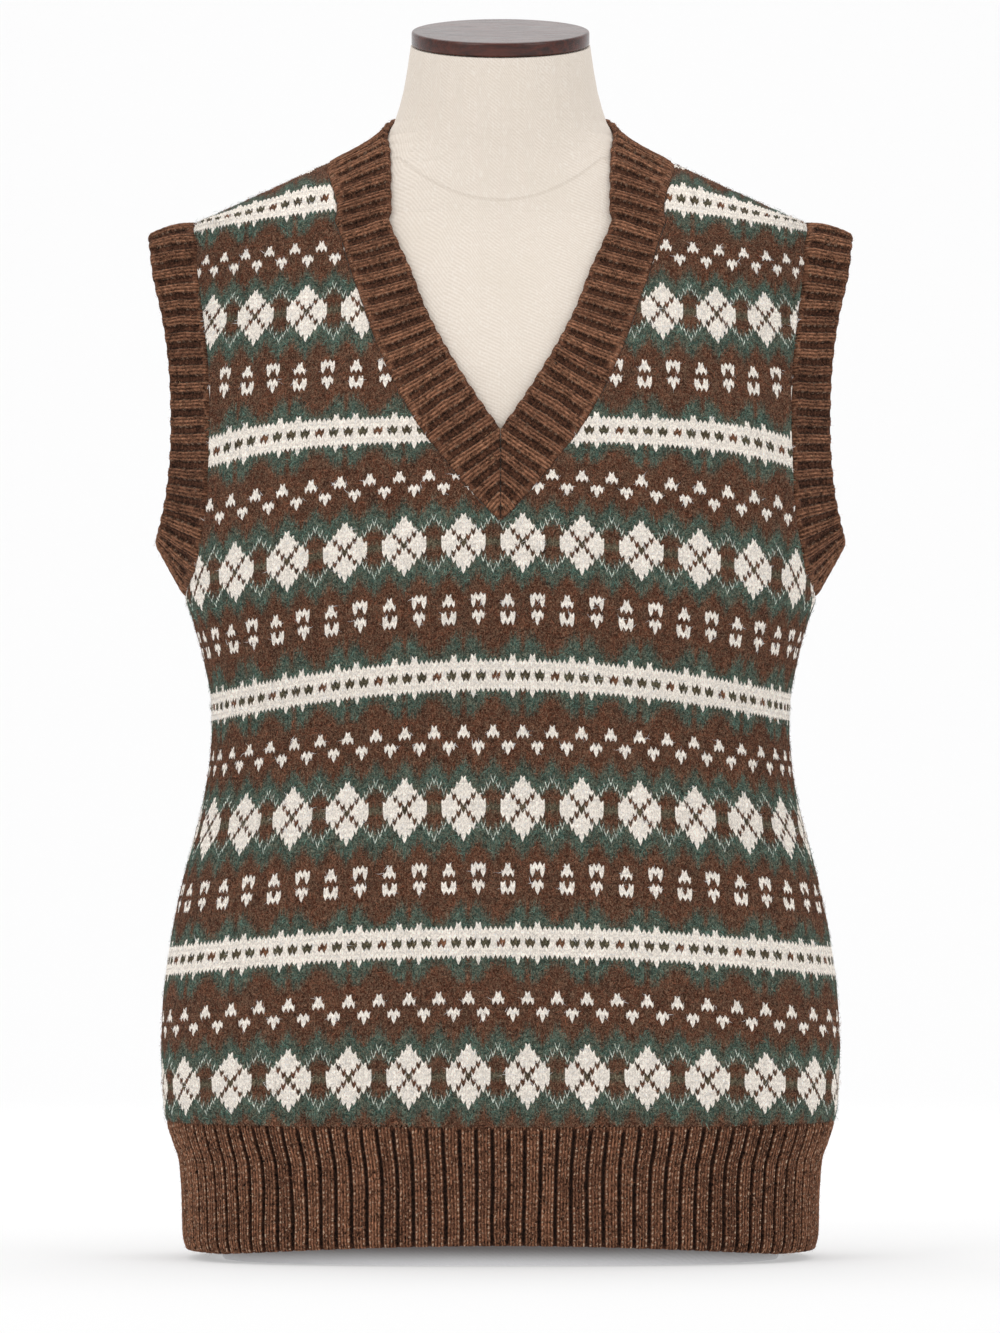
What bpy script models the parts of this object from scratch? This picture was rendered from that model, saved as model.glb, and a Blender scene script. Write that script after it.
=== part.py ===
"""A knitted sweater vest worn by a limbless dress form.

Units are metres, +Z is up and the front of the vest faces -Y.  The form stands on its flat base at
height 0.  Every piece of cloth follows one skin, the outer face of the knitted panels, which is
worked out from a short table of level sections.  A place on the skin has two numbers: its height,
and its share of the way round, which is 0 at the centre front, 1 at the side line and 2 at the
centre back, negative on the wearer's right.
"""
import bisect
import functools
import math

import bmesh
import bpy
from mathutils import Matrix, Vector

MM = 0.001

# Driving dimensions
SEAM_GAP = 0.4 * MM
BAND_GAP = 0.6 * MM
PANEL_WALL = 2.4 * MM
HEM_BOTTOM = 5.0 * MM
HEM_TOP = 79.4 * MM
ARMPIT = 396.0 * MM
HEM_RIBS_EACH_SIDE = 55
NECK_RIBS_EACH_SIDE = 38
ARM_RIBS = 48
NECK_TOP = 727.0 * MM
NECK_TILT = math.radians(11.0)
CAP_RADIUS = 53.4 * MM
CAP_THICKNESS = 8.6 * MM
CAP_EDGE = 1.6 * MM
FORM_POINTS_ROUND = 32
FRONT_COLUMNS = 11
BACK_COLUMNS = 13

# Steps that a quarter of a section is measured in, and the power that makes them nearly even
SECTION_STEPS = 48
EVENNESS = 1.25
# Distance under which two points count as the same
SAME_PLACE = 0.001 * MM

# Places of a rib's points along the band, in ribs, and how far each stands up, from furrow to crest
RIB_POINTS = ((0.0, 0.0), (0.22, 1.0), (0.76, 1.0))

# How far back the sections are moved, so that the whole is centred on the origin
BACK_SHIFT = 2.5 * MM

# Level sections of the skin, in millimetres.  The columns are height, half width, front face (y),
# back face (y), side line (y), squareness of the section, and ease between the cloth and the form.
SECTIONS = (
    (0, 186.5, -119, 115, 0, 2.5, 19),
    (15, 190.5, -120, 116, 0, 2.5, 13),
    (34, 191, -120, 116, 0, 2.5, 7),
    (58, 192.6, -121, 117, 0, 2.5, 5),
    (70, 196.5, -123, 119, 0, 2.5, 5),
    (82, 200.1, -125, 121, 0, 2.5, 4.5),
    (94, 201.6, -126, 122, 0, 2.5, 4),
    (124, 202.8, -127, 121.5, 0, 2.5, 4),
    (154, 201.6, -126, 118, 0, 2.5, 4),
    (178, 198.9, -124, 114, 0, 2.5, 4),
    (202, 195, -122, 109, 0, 2.5, 4),
    (226, 189.9, -119, 103, 0, 2.5, 4),
    (250, 183.6, -116, 98, 0, 2.5, 4),
    (274, 177.6, -113, 95, 0, 2.5, 4),
    (298, 173.7, -112, 93, 0, 2.5, 4),
    (316, 172.5, -112, 93, 0, 2.5, 4),
    (334, 173.1, -114, 94, 0, 2.5, 4),
    (358, 177.3, -118, 97, 1, 2.5, 4),
    (382, 183.9, -122, 101, 2, 2.5, 4),
    (396, 188.6, -123.5, 103, 3, 2.5, 4),
    (420, 190, -124, 106, 4, 2.5, 4),
    (450, 190.5, -121.5, 108, 5.5, 2.5, 3.6),
    (480, 190.5, -116, 108.5, 7.5, 2.45, 3.2),
    (510, 190.5, -107.5, 107, 9.5, 2.35, 3),
    (540, 190.2, -96, 104, 11.5, 2.3, 2.8),
    (570, 189.5, -82.5, 99, 13, 2.25, 2.6),
    (595, 188.3, -70, 93, 14, 2.3, 2.6),
    (610, 186.8, -62, 88.5, 15, 2.3, 2.6),
    (620, 183.5, -57, 85, 15, 2.3, 2.5),
    (626, 171, -54.5, 83, 15, 2.2, 2.3),
    (640, 140.5, -51.5, 78, 15, 2.1, 1.8),
    (650, 118.6, -50.5, 74, 15, 2.0, 1.3),
    (658, 101, -50, 70.5, 15, 2.0, 1.3),
    (664, 88.5, -50.5, 68.5, 12, 2.0, 1.3),
    (670, 78, -51.5, 67, 9, 2.0, 1.1),
    (676, 70.5, -52.8, 66, 6.5, 2.0, 0.9),
    (684, 66, -54, 65, 5, 2.0, 0.8),
    (697, 61.8, -55.5, 62.5, 3, 2.0, 0.6),
    (712, 59, -57, 59.5, 0.5, 2.0, 0.6),
    (727, 56.8, -58.6, 55, -1.8, 2.0, 0.6),
)

# Heights, in millimetres, of the rings that the form is lofted through, and the tilt of each as a
# share of the tilt of the neck's top
FORM_RINGS = (
    (4, 0), (34, 0), (70, 0), (118, 0), (160, 0), (200, 0), (240, 0), (276, 0), (316, 0), (355, 0),
    (395, 0), (430, 0), (465, 0), (500, 0), (535, 0), (565, 0), (590, 0), (608, 0), (619, 0),
    (627, 0), (640, 0), (650, 0), (657, 0), (663, 0), (669, 0), (675, 0), (682, 0), (690, 0.1),
    (700, 0.35), (712, 0.65), (727, 1.0),
)
FORM_BASE_INSET = 2.5 * MM
CAP_SIDES = 32

# The neckband from below the point of the V, round one side, to the centre back.  The columns are
# which face of the body the row lies on (-1 front, 0 the shoulder line, 1 back), the distance out
# from the middle and the height of the sewn edge, then the same two of the free edge, all in mm.
NECKBAND = (
    (-1, -5, 435.7, -29, 459.0),
    (-1, 12, 453.5, -11.5, 481.3),
    (-1, 29.7, 474, 6, 503.5),
    (-1, 52.5, 505, 27, 535.5),
    (-1, 72.3, 545, 44, 566.5),
    (-1, 86.7, 585, 57.5, 600),
    (-1, 97.5, 624, 66, 636),
    (-1, 101.7, 647, 69.8, 661),
    (0, None, 658, None, 676),
    (1, 80, 657.5, 55, 685.5),
    (1, 43, 657, 30, 689.5),
    (1, 0, 657, 0, 691),
)

# One side of an armband, from the shoulder down to the armpit.  The columns are the distance out
# from the middle and the height of the sewn edge, which lies on the skin, then the same two of the
# free edge, and how far the free edge stands in front of the side line, all in mm.
ARMBAND = (
    (None, 619.5, 212, 611, 0),
    (183.2, 608, 211, 604, 12),
    (182.3, 592, 208.8, 588, 20),
    (178.6, 564, 203, 563, 30),
    (175.4, 536, 199.2, 536, 37.5),
    (174.3, 508, 197.8, 508, 41),
    (174.4, 480, 198.1, 481, 44),
    (175.8, 452, 200.6, 457, 43),
    (179.5, 427, 204.2, 440, 37),
    (184.3, 408.5, 206.4, 432, 23),
    (None, 396, 207, 430, 0),
)
ARMBAND_BACK_INSET = 0.85

# Heights of the panel's level rows between the hem ribbing and the armpit, in millimetres
PANEL_ROWS = (112, 160, 210, 260, 308, 345, 372)
# Rows above the armpit, one for each rib of the armband, those of them that end at the middle, and
# how much closer the rest lie towards the shoulder than the even spacing
ROWS_TO_SHOULDER = ARM_RIBS // 2
ROWS_TO_POINT = 8
CLOSER_AT_SHOULDER = 0.25
CLOSER_AT_SIDE = 0.12
# Share of the back panel's columns that end at the neck
BACK_NECK_SHARE = 9 / 13

# Share of a band's wall that is left in the furrows at its edges
EDGE_WALL = 0.55
# Share of an armband's width in which it turns from the skin into its own flare
ARMBAND_TURN = 0.3

# Ribs: how far the furrow and the crest of each stand out from the skin, and the inside face
HEM_RIB = {"inside": -3.2 * MM, "furrow": -1.5 * MM, "crest": 0.2 * MM}
NECK_RIB = {"inside": -2.4 * MM, "furrow": -0.2 * MM, "crest": 1.6 * MM}
ARM_RIB = {"inside": -2.4 * MM, "furrow": -0.4 * MM, "crest": 1.2 * MM}

# Rows across a ribbed band: share of the width, and how much of the rib's height shows there
HEM_ACROSS = ((0.0, 0.6), (0.68, 1.0), (1.0, 0.6))
NECK_ACROSS = ((0.0, 0.4), (0.28, 1.0), (0.72, 1.0), (1.0, 0.4))
ARM_ACROSS = ((0.0, 0.4), (0.1, 1.0), (0.9, 1.0), (1.0, 0.4))
# Rows across the plain inside of each
HEM_INSIDE = (0.0, 0.68, 1.0)
NECK_INSIDE = (0.0, 0.5, 1.0)
ARM_INSIDE = (0.0, 1.0)


# ---------------------------------------------------------------- the skin

def monotone_slopes(places, values):
    """Slopes of a smooth curve through the values that never swings past them."""
    spans = [(b - a) for a, b in zip(places, places[1:])]
    rises = [(b - a) / span for a, b, span in zip(values, values[1:], spans)]
    slopes = [rises[0]]
    for before, after in zip(rises, rises[1:]):
        slopes.append(0.0 if before * after <= 0 else 2 * before * after / (before + after))
    slopes.append(rises[-1])
    return slopes


HEIGHTS = [row[0] for row in SECTIONS]
COLUMNS = [[row[k] for row in SECTIONS] for k in range(1, 7)]
SLOPES = [monotone_slopes(HEIGHTS, column) for column in COLUMNS]


@functools.lru_cache(maxsize=None)
def section(height):
    """Half width, front, back, side line, squareness and ease of the level section at a height."""
    level = min(max(height / MM, HEIGHTS[0]), HEIGHTS[-1])
    k = min(max(bisect.bisect_right(HEIGHTS, level) - 1, 0), len(HEIGHTS) - 2)
    span = HEIGHTS[k + 1] - HEIGHTS[k]
    t = (level - HEIGHTS[k]) / span
    found = []
    for column, slopes in zip(COLUMNS, SLOPES):
        value = (2 * t ** 3 - 3 * t ** 2 + 1) * column[k] + (3 * t ** 2 - 2 * t ** 3) * column[k + 1]
        value += (t ** 3 - 2 * t ** 2 + t) * span * slopes[k] + (t ** 3 - t ** 2) * span * slopes[k + 1]
        found.append(value)
    half, front, back, side, square, ease = found
    front, back, side = (value * MM + BACK_SHIFT for value in (front, back, side))
    return half * MM, front, back, side, square, ease * MM


def at_turn(turn, height):
    """Point of the skin at a turn in radians, from the centre front, and a height."""
    half, front, back, side, square, _ = section(height)
    across = math.sin(turn)
    ahead = math.cos(turn)
    depth = (side - front) if ahead > 0 else (back - side)
    x = math.copysign(half * abs(across) ** (2 / square), across)
    y = side - math.copysign(depth * abs(ahead) ** (2 / square), ahead)
    return Vector((x, y, height))


def turn_at(step):
    """Turn at a step from 0 at the front to 2 at the back, where level steps are nearly even."""
    half_way = int(step >= 1)
    part = step - half_way
    ahead = part ** EVENNESS
    behind = (1 - part) ** EVENNESS
    return math.pi / 2 * (half_way + ahead / (ahead + behind))


def step_at(turn):
    """Step at a turn, the other way round."""
    quarters = min(turn / (math.pi / 2), 2.0)
    half_way = int(quarters >= 1)
    part = quarters - half_way
    if part <= 0 or part >= 1:
        return half_way + max(min(part, 1.0), 0.0)
    ratio = (part / (1 - part)) ** (1 / EVENNESS)
    return half_way + ratio / (1 + ratio)


@functools.lru_cache(maxsize=None)
def lengths(height):
    """Lengths run to each of the even steps round half of a section, front to back."""
    points = [at_turn(turn_at(k / SECTION_STEPS), height) for k in range(2 * SECTION_STEPS + 1)]
    run = [0.0]
    for here, there in zip(points, points[1:]):
        run.append(run[-1] + (there - here).length)
    return run


def turn_of(share, height):
    """Turn at a share of the way round: 0 centre front, 1 the side line, 2 centre back."""
    run = lengths(round(height, 4))
    quarter = run[SECTION_STEPS]
    size = min(abs(share), 2.0)
    target = size * quarter if size <= 1 else quarter + (size - 1) * (run[-1] - quarter)
    k = min(max(bisect.bisect_right(run, target) - 1, 0), len(run) - 2)
    step = (k + (target - run[k]) / (run[k + 1] - run[k])) / SECTION_STEPS
    return math.copysign(turn_at(min(step, 2.0)), share)


def share_of(face, out, height):
    """Share of the way round of the skin's point some millimetres out from the middle."""
    if face == 0:
        return 1.0
    half, _, _, _, square, _ = section(height)
    turn = math.asin(min(abs(out) * MM / half, 1.0) ** (square / 2))
    step = step_at(math.pi - turn if face > 0 else turn) * SECTION_STEPS
    run = lengths(round(height, 4))
    quarter = run[SECTION_STEPS]
    k = min(int(step), len(run) - 2)
    length = run[k] + (run[k + 1] - run[k]) * (step - k)
    share = length / quarter if length <= quarter else 1 + (length - quarter) / (run[-1] - quarter)
    return math.copysign(share, out) if out else share


def skin_normal(share, height):
    """Direction straight out of the skin."""
    turn = turn_of(share, height)
    step = math.radians(0.25)
    rise = 0.4 * MM
    round_way = at_turn(turn + step, height) - at_turn(turn - step, height)
    up_way = at_turn(turn, height + rise) - at_turn(turn, height - rise)
    normal = round_way.cross(up_way).normalized()
    if share == 0 or abs(share) == 2:
        normal.x = 0.0
    return normal.normalized()


def skin(share, height, out=0.0):
    """Point at a share of the way round and a height, moved straight out of the skin."""
    point = at_turn(turn_of(share, height), height)
    if share == 0 or abs(share) == 2:
        point.x = 0.0
    return point + skin_normal(share, height) * out if out else point


# ---------------------------------------------------------------- curves

def along(rows, place, closed=False):
    """Row of values at a place counted in rows, on a smooth curve through the table's rows."""
    count = len(rows)
    last = count if closed else count - 1
    place = place % last if closed else min(max(place, 0.0), float(last))
    k = min(int(place), last - 1)
    t = place - k
    if closed:
        before, here, there, after = (rows[(k + i) % count] for i in (-1, 0, 1, 2))
    else:
        before, here, there, after = (rows[min(max(k + i, 0), last)] for i in (-1, 0, 1, 2))
    found = []
    for p, q, r, s in zip(before, here, there, after):
        if not closed and k == 0:
            p = 2 * q - r
        if not closed and k == last - 1:
            s = 2 * r - q
        found.append(0.5 * (2 * q + (r - p) * t + (2 * p - 5 * q + 4 * r - s) * t ** 2
                            + (3 * q - p - 3 * r + s) * t ** 3))
    return found


def place_by_length(curve, first, last, samples=480):
    """Function from a share of a curve's length to the place on it."""
    places = [first + (last - first) * k / samples for k in range(samples + 1)]
    points = [curve(place) for place in places]
    run = [0.0]
    for here, there in zip(points, points[1:]):
        run.append(run[-1] + (there - here).length)

    def place_at(share):
        target = share * run[-1]
        k = min(max(bisect.bisect_right(run, target) - 1, 0), samples - 1)
        t = (target - run[k]) / (run[k + 1] - run[k])
        return places[k] + (places[k + 1] - places[k]) * t

    return place_at


def mixed(first, second, share):
    """Mix of two rows of numbers or two vectors."""
    return [a + (b - a) * share for a, b in zip(first, second)]


# ---------------------------------------------------------------- meshes

def material(name, colour, roughness, metallic=0.0):
    """Plain surface in one colour."""
    found = bpy.data.materials.new(name)
    found.use_nodes = True
    shader = found.node_tree.nodes["Principled BSDF"]
    shader.inputs["Base Color"].default_value = (*colour, 1.0)
    shader.inputs["Roughness"].default_value = roughness
    shader.inputs["Metallic"].default_value = metallic
    return found


def add_object(name, mesh, surface, crease=40.0):
    """Object of a finished bmesh, shaded smooth but for its sharp edges."""
    bmesh.ops.recalc_face_normals(mesh, faces=mesh.faces[:])
    data = bpy.data.meshes.new(name)
    mesh.to_mesh(data)
    mesh.free()
    data.shade_smooth()
    data.set_sharp_from_angle(angle=math.radians(crease))
    data.materials.append(surface)
    piece = bpy.data.objects.new(name, data)
    bpy.context.collection.objects.link(piece)
    return piece


def mirror(piece):
    """Second half of a piece, joined to the first where it lies on the middle plane."""
    modifier = piece.modifiers.new("other side", "MIRROR")
    modifier.use_axis = (True, False, False)
    modifier.merge_threshold = 0.00001
    modifier.use_clip = False


def on_middle(*verts):
    """Whether all the vertices lie on the middle plane."""
    return all(abs(vert.co.x) < SAME_PLACE / 10 for vert in verts)


def sheet_mesh(net, outside, inside):
    """Wall of cloth over a net of places on the skin, open only where it meets the middle plane."""
    mesh = bmesh.new()
    outer = [[mesh.verts.new(skin(*place, outside)) for place in row] for row in net]
    inner = [[mesh.verts.new(skin(*place, inside)) for place in row] for row in net]
    for face, flip in ((outer, False), (inner, True)):
        for low, high in zip(face, face[1:]):
            for k in range(len(low) - 1):
                corners = [low[k], low[k + 1], high[k + 1], high[k]]
                mesh.faces.new(corners[::-1] if flip else corners)
    rims = [
        (outer[0], inner[0]),
        (outer[-1][::-1], inner[-1][::-1]),
        ([row[-1] for row in outer], [row[-1] for row in inner]),
        ([row[0] for row in outer][::-1], [row[0] for row in inner][::-1]),
    ]
    for outer_rim, inner_rim in rims:
        for k in range(len(outer_rim) - 1):
            if not on_middle(outer_rim[k], outer_rim[k + 1]):
                mesh.faces.new([inner_rim[k], inner_rim[k + 1], outer_rim[k + 1], outer_rim[k]])
    return mesh


def ribbed_mesh(surface, ribs, across, inside, rib, closed):
    """Ribbed wall: ribs raised in its outer points over a plain inside.

    surface(station, share, out) gives a point at a station counted in ribs, a share of the width
    and a distance out.  across holds the outer rows and inside the shares of the inner ones.
    """
    mesh = bmesh.new()
    stations = [(k + step, rise) for k in range(ribs) for step, rise in RIB_POINTS]
    if not closed:
        stations.append((ribs, 0.0))
    outer = []
    for share, shown in across:
        row = []
        for station, rise in stations:
            out = rib["furrow"] + (rib["crest"] - rib["furrow"]) * rise
            out = rib["inside"] + (out - rib["inside"]) * (EDGE_WALL + (1 - EDGE_WALL) * shown)
            row.append(mesh.verts.new(surface(station, share, out)))
        outer.append(row)
    marks = list(range(ribs)) + ([] if closed else [ribs])
    inner = [[mesh.verts.new(surface(k, share, rib["inside"])) for k in marks] for share in inside]
    if closed:
        for row in outer + inner:
            row.append(row[0])
    for rows, flip in ((outer, False), (inner, True)):
        for low, high in zip(rows, rows[1:]):
            for k in range(len(low) - 1):
                corners = [low[k], low[k + 1], high[k + 1], high[k]]
                mesh.faces.new(corners[::-1] if flip else corners)
    for outer_row, inner_row, flip in ((outer[0], inner[0], True), (outer[-1], inner[-1], False)):
        for k in range(ribs):
            four = outer_row[3 * k:3 * k + 4]
            for corners in ([inner_row[k], four[1], four[0]],
                            [inner_row[k], inner_row[k + 1], four[2], four[1]],
                            [inner_row[k + 1], four[3], four[2]]):
                mesh.faces.new(corners[::-1] if flip else corners)
    if not closed:
        for end in (0, -1):
            rim = [row[end] for row in outer] + [row[end] for row in reversed(inner)]
            if not on_middle(*rim):
                mesh.faces.new(rim)
    return mesh


# ---------------------------------------------------------------- the form

def build_form(surface):
    """Torso and neck of the dress form, inside the cloth by its wall and ease, with a flat base."""
    mesh = bmesh.new()
    rings = []
    shares = [4 * k / FORM_POINTS_ROUND - 2 for k in range(FORM_POINTS_ROUND)]
    for level, tilt in FORM_RINGS:
        height = level * MM
        middle = (section(height)[1] + section(height)[2]) / 2
        inward = PANEL_WALL + section(height)[5]
        ring = []
        for share in shares:
            point = skin(share, height) - skin_normal(share, height) * inward
            if tilt:
                point.z = height + tilt * math.tan(NECK_TILT) * (point.y - middle)
            ring.append(mesh.verts.new(point))
        rings.append(ring)
    base = []
    for vert in rings[0]:
        smaller = 1 - FORM_BASE_INSET / vert.co.xy.length
        base.append(mesh.verts.new((vert.co.x * smaller, vert.co.y * smaller, 0.0)))
    rings.insert(0, base)
    for low, high in zip(rings, rings[1:]):
        for k in range(FORM_POINTS_ROUND):
            after = (k + 1) % FORM_POINTS_ROUND
            mesh.faces.new([low[k], low[after], high[after], high[k]])
    mesh.faces.new(rings[0][::-1])
    mesh.faces.new(rings[-1])
    return add_object("dress_form", mesh, surface)


def build_cap(surface):
    """Turned wooden disc with eased edges, seated on the tilted top of the neck."""
    mesh = bmesh.new()
    bmesh.ops.create_cone(mesh, cap_ends=True, segments=CAP_SIDES, radius1=CAP_RADIUS,
                          radius2=CAP_RADIUS, depth=CAP_THICKNESS)
    rims = [edge for edge in mesh.edges
            if abs(edge.verts[0].co.z - edge.verts[1].co.z) < SAME_PLACE]
    bmesh.ops.bevel(mesh, geom=rims, offset=CAP_EDGE, offset_type="OFFSET", segments=2, profile=0.5,
                    affect="EDGES", clamp_overlap=True)
    seat = Vector((0.0, (section(NECK_TOP)[1] + section(NECK_TOP)[2]) / 2, NECK_TOP))
    lift = CAP_THICKNESS / 2 + SEAM_GAP
    placed = Matrix.Translation(seat) @ Matrix.Rotation(NECK_TILT, 4, "X")
    placed = placed @ Matrix.Translation((0.0, 0.0, lift))
    bmesh.ops.transform(mesh, matrix=placed, verts=mesh.verts[:])
    return add_object("neck_cap", mesh, surface, crease=50.0)


# ---------------------------------------------------------------- edges of the bands

def neckband_rows():
    """Rows of the neckband as places on the skin: sewn share and height, free share and height."""
    rows = []
    for face, sewn_out, sewn_height, free_out, free_height in NECKBAND:
        sewn = share_of(face, sewn_out, sewn_height * MM)
        free = share_of(face, free_out, free_height * MM)
        rows.append((sewn, sewn_height * MM, free, free_height * MM))
    return rows


def armband_rows():
    """Rows round an armhole: sewn share and height, then the free edge's x, y and height."""
    front = []
    back = []
    for sewn_out, sewn_height, free_out, free_height, inset in ARMBAND:
        height = sewn_height * MM
        ahead = share_of(0 if sewn_out is None else -1, sewn_out, height)
        behind = share_of(0 if sewn_out is None else 1, sewn_out, height)
        side = section(free_height * MM)[3]
        edge = (free_out * MM, side - inset * MM, free_height * MM)
        front.append((ahead, height, *edge))
        edge = (free_out * MM, side + inset * ARMBAND_BACK_INSET * MM, free_height * MM)
        back.append((behind, height, *edge))
    return front + back[-2:0:-1]


NECK_ROWS = neckband_rows()
ARM_ROWS = armband_rows()
ARM_HALF = len(ARMBAND) - 1
SHOULDER_ROW = [row[0] for row in NECKBAND].index(0)


def armband_middle(place):
    """Point half way across the left armband at a place counted in rows."""
    row = along(ARM_ROWS, place, closed=True)
    return (skin(*row[0:2]) + Vector(row[2:5])) / 2


def rib_places():
    """Places round the armband where its ribs begin, even in length, from the shoulder forward."""
    place_at = place_by_length(armband_middle, 0, ARM_HALF)
    front = [place_at(2 * k / ARM_RIBS) for k in range(ARM_RIBS // 2)]
    place_at = place_by_length(armband_middle, ARM_HALF, 2 * ARM_HALF)
    back = [place_at(2 * k / ARM_RIBS) for k in range(ARM_RIBS // 2)]
    return front + back + [2.0 * ARM_HALF]


ARM_PLACES = rib_places()


def neckline(place, gap=BAND_GAP):
    """Place on the skin of the neckband's sewn edge, moved a gap away from the band."""
    row = along(NECK_ROWS, place)
    width = (skin(row[0], row[1]) - skin(row[2], row[3])).length
    return mixed(row[0:2], row[2:4], -gap / width)


def armhole(place, gap=0.0):
    """Place on the skin of an armband's sewn edge, moved a gap into the armhole."""
    row = along(ARM_ROWS, place, closed=True)
    if not gap:
        return row[0:2]
    ahead = along(ARM_ROWS, place + 0.02, closed=True)
    behind = along(ARM_ROWS, place - 0.02, closed=True)
    way = skin(*ahead[0:2]) - skin(*behind[0:2])
    inward = skin_normal(*row[0:2]).cross(way).normalized()
    step = 0.002
    by_share = (skin(row[0] + step, row[1]) - skin(*row[0:2])) / step
    by_height = (skin(row[0], row[1] + step) - skin(*row[0:2])) / step
    across = inward.dot(by_share) / by_share.length_squared
    upward = inward.dot(by_height) / by_height.length_squared
    return [row[0] + across * gap, row[1] + upward * gap]


# ---------------------------------------------------------------- cloth

def build_hem(name, first_share, surface):
    """Half of the hem ribbing, from one side seam to the other."""
    middle = (HEM_BOTTOM + HEM_TOP) / 2
    gap = SEAM_GAP / 2 / lengths(round(middle, 4))[SECTION_STEPS]

    def place(station, share, out):
        turned = first_share - 1 + gap + (2 - 2 * gap) * station / HEM_RIBS_EACH_SIDE
        if turned > 2:
            turned -= 4
        return skin(turned, HEM_BOTTOM + (HEM_TOP - HEM_BOTTOM) * share, out)

    mesh = ribbed_mesh(place, HEM_RIBS_EACH_SIDE, HEM_ACROSS, HEM_INSIDE, HEM_RIB, closed=False)
    return add_object(name, mesh, surface)


def panel_columns(inner, outer, columns):
    """Places in a row from an inner place to an outer one, a little closer at the outer end."""
    row = []
    for k in range(columns + 1):
        t = k / columns
        row.append(mixed(inner, outer, t + CLOSER_AT_SIDE * t * (1 - t)))
    return row


def side_places(middle, side, columns):
    """Rows from the hem ribbing to just below the armpit."""
    levels = [HEM_TOP + BAND_GAP] + [level * MM for level in PANEL_ROWS]
    return [panel_columns((middle, level), (side, level), columns) for level in levels]


def side_gap():
    """Half of the side seam's gap, as a share of the way round."""
    return SEAM_GAP / 2 / lengths(round(ARMPIT, 4))[SECTION_STEPS]


def point_of_neckline():
    """Place along the neckband, in rows, where the panel's neckline meets the middle."""
    low = 0.0
    high = 2.0
    for _ in range(40):
        middle = (low + high) / 2
        if neckline(middle)[0] < 0:
            low = middle
        else:
            high = middle
    return high


def front_net():
    """Right half of the front panel, from the hem ribbing to the shoulder seam."""
    side = 1 - side_gap()
    net = side_places(0.0, side, FRONT_COLUMNS)
    first = point_of_neckline()
    neck_place = place_by_length(lambda t: skin(*neckline(t)), first, SHOULDER_ROW)
    for k in range(ROWS_TO_SHOULDER + 1):
        outer = armhole(ARM_PLACES[ROWS_TO_SHOULDER - k])
        if k <= ROWS_TO_POINT:
            inner = (0.0, ARMPIT + (neckline(first)[1] - ARMPIT) * k / ROWS_TO_POINT)
        else:
            t = (k - ROWS_TO_POINT) / (ROWS_TO_SHOULDER - ROWS_TO_POINT)
            inner = neckline(neck_place(t + CLOSER_AT_SHOULDER * t * (1 - t)))
            inner = (min(inner[0], side), inner[1])
        net.append(panel_columns(inner, (min(outer[0], side), outer[1]), FRONT_COLUMNS))
    return net


def back_top(side):
    """Top row of the back panel: round the neck to the shoulder, then out along it."""
    shoulder = (neckline(SHOULDER_ROW)[1], armhole(0)[1])
    row = []
    for k in range(BACK_COLUMNS + 1):
        t = k / BACK_COLUMNS
        if t <= BACK_NECK_SHARE:
            last = len(NECK_ROWS) - 1
            place = neckline(last - (last - SHOULDER_ROW) * t / BACK_NECK_SHARE)
            row.append((2.0 if k == 0 else max(place[0], side), place[1]))
        else:
            t = (t - BACK_NECK_SHARE) / (1 - BACK_NECK_SHARE)
            row.append((side, shoulder[0] + (shoulder[1] - shoulder[0]) * t))
    return row


def back_net():
    """Half of the back panel, from the hem ribbing to the neckline and the shoulder seam."""
    side = 1 + side_gap()
    net = side_places(2.0, side, BACK_COLUMNS)
    top = back_top(side)
    start = panel_columns((2.0, ARMPIT), (side, ARMPIT), BACK_COLUMNS)
    for k in range(ROWS_TO_SHOULDER + 1):
        t = k / ROWS_TO_SHOULDER
        outer = armhole(ARM_PLACES[ROWS_TO_SHOULDER + k])
        outer = (max(outer[0], side), outer[1])
        edge = mixed(start[-1], top[-1], t)
        row = []
        for j in range(BACK_COLUMNS + 1):
            share, height = mixed(start[j], top[j], t)
            pull = j / BACK_COLUMNS
            row.append((share + (outer[0] - edge[0]) * pull, height + (outer[1] - edge[1]) * pull))
        net.append(row)
    return [row[::-1] for row in net]


def build_panel(name, net, surface):
    """Front or back of the vest, from its right half."""
    piece = add_object(name, sheet_mesh(net, 0.0, -PANEL_WALL), surface)
    mirror(piece)
    return piece


def build_neckband(surface):
    """Ribbed neckband with its two ends meeting in a mitre at the point of the V."""
    last = len(NECK_ROWS) - 1

    def middle(place):
        row = along(NECK_ROWS, place)
        return skin(*mixed(row[0:2], row[2:4], 0.5))

    place_at = place_by_length(middle, 0, last)

    def place(station, share, out):
        row = along(NECK_ROWS, place_at(station / NECK_RIBS_EACH_SIDE))
        spot = mixed(row[0:2], row[2:4], share)
        if station == NECK_RIBS_EACH_SIDE:
            spot[0] = 2.0
        return skin(*spot, out)

    mesh = ribbed_mesh(place, NECK_RIBS_EACH_SIDE, NECK_ACROSS, NECK_INSIDE, NECK_RIB, closed=False)
    mitre = SEAM_GAP / 2
    cut = bmesh.ops.bisect_plane(mesh, geom=mesh.verts[:] + mesh.edges[:] + mesh.faces[:],
                                 dist=SAME_PLACE, plane_co=(mitre, 0, 0), plane_no=(1, 0, 0))
    gone = [vert for vert in mesh.verts if vert.co.x < mitre - SAME_PLACE and vert.co.y < 0]
    bmesh.ops.delete(mesh, geom=gone, context="VERTS")
    rim = [item for item in cut["geom_cut"] if isinstance(item, bmesh.types.BMEdge) and item.is_valid]
    rim = [edge for edge in rim if edge.verts[0].co.y < 0 and edge.is_boundary]
    bmesh.ops.edgeloop_fill(mesh, edges=rim)
    piece = add_object("neckband", mesh, surface)
    mirror(piece)
    return piece


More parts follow.
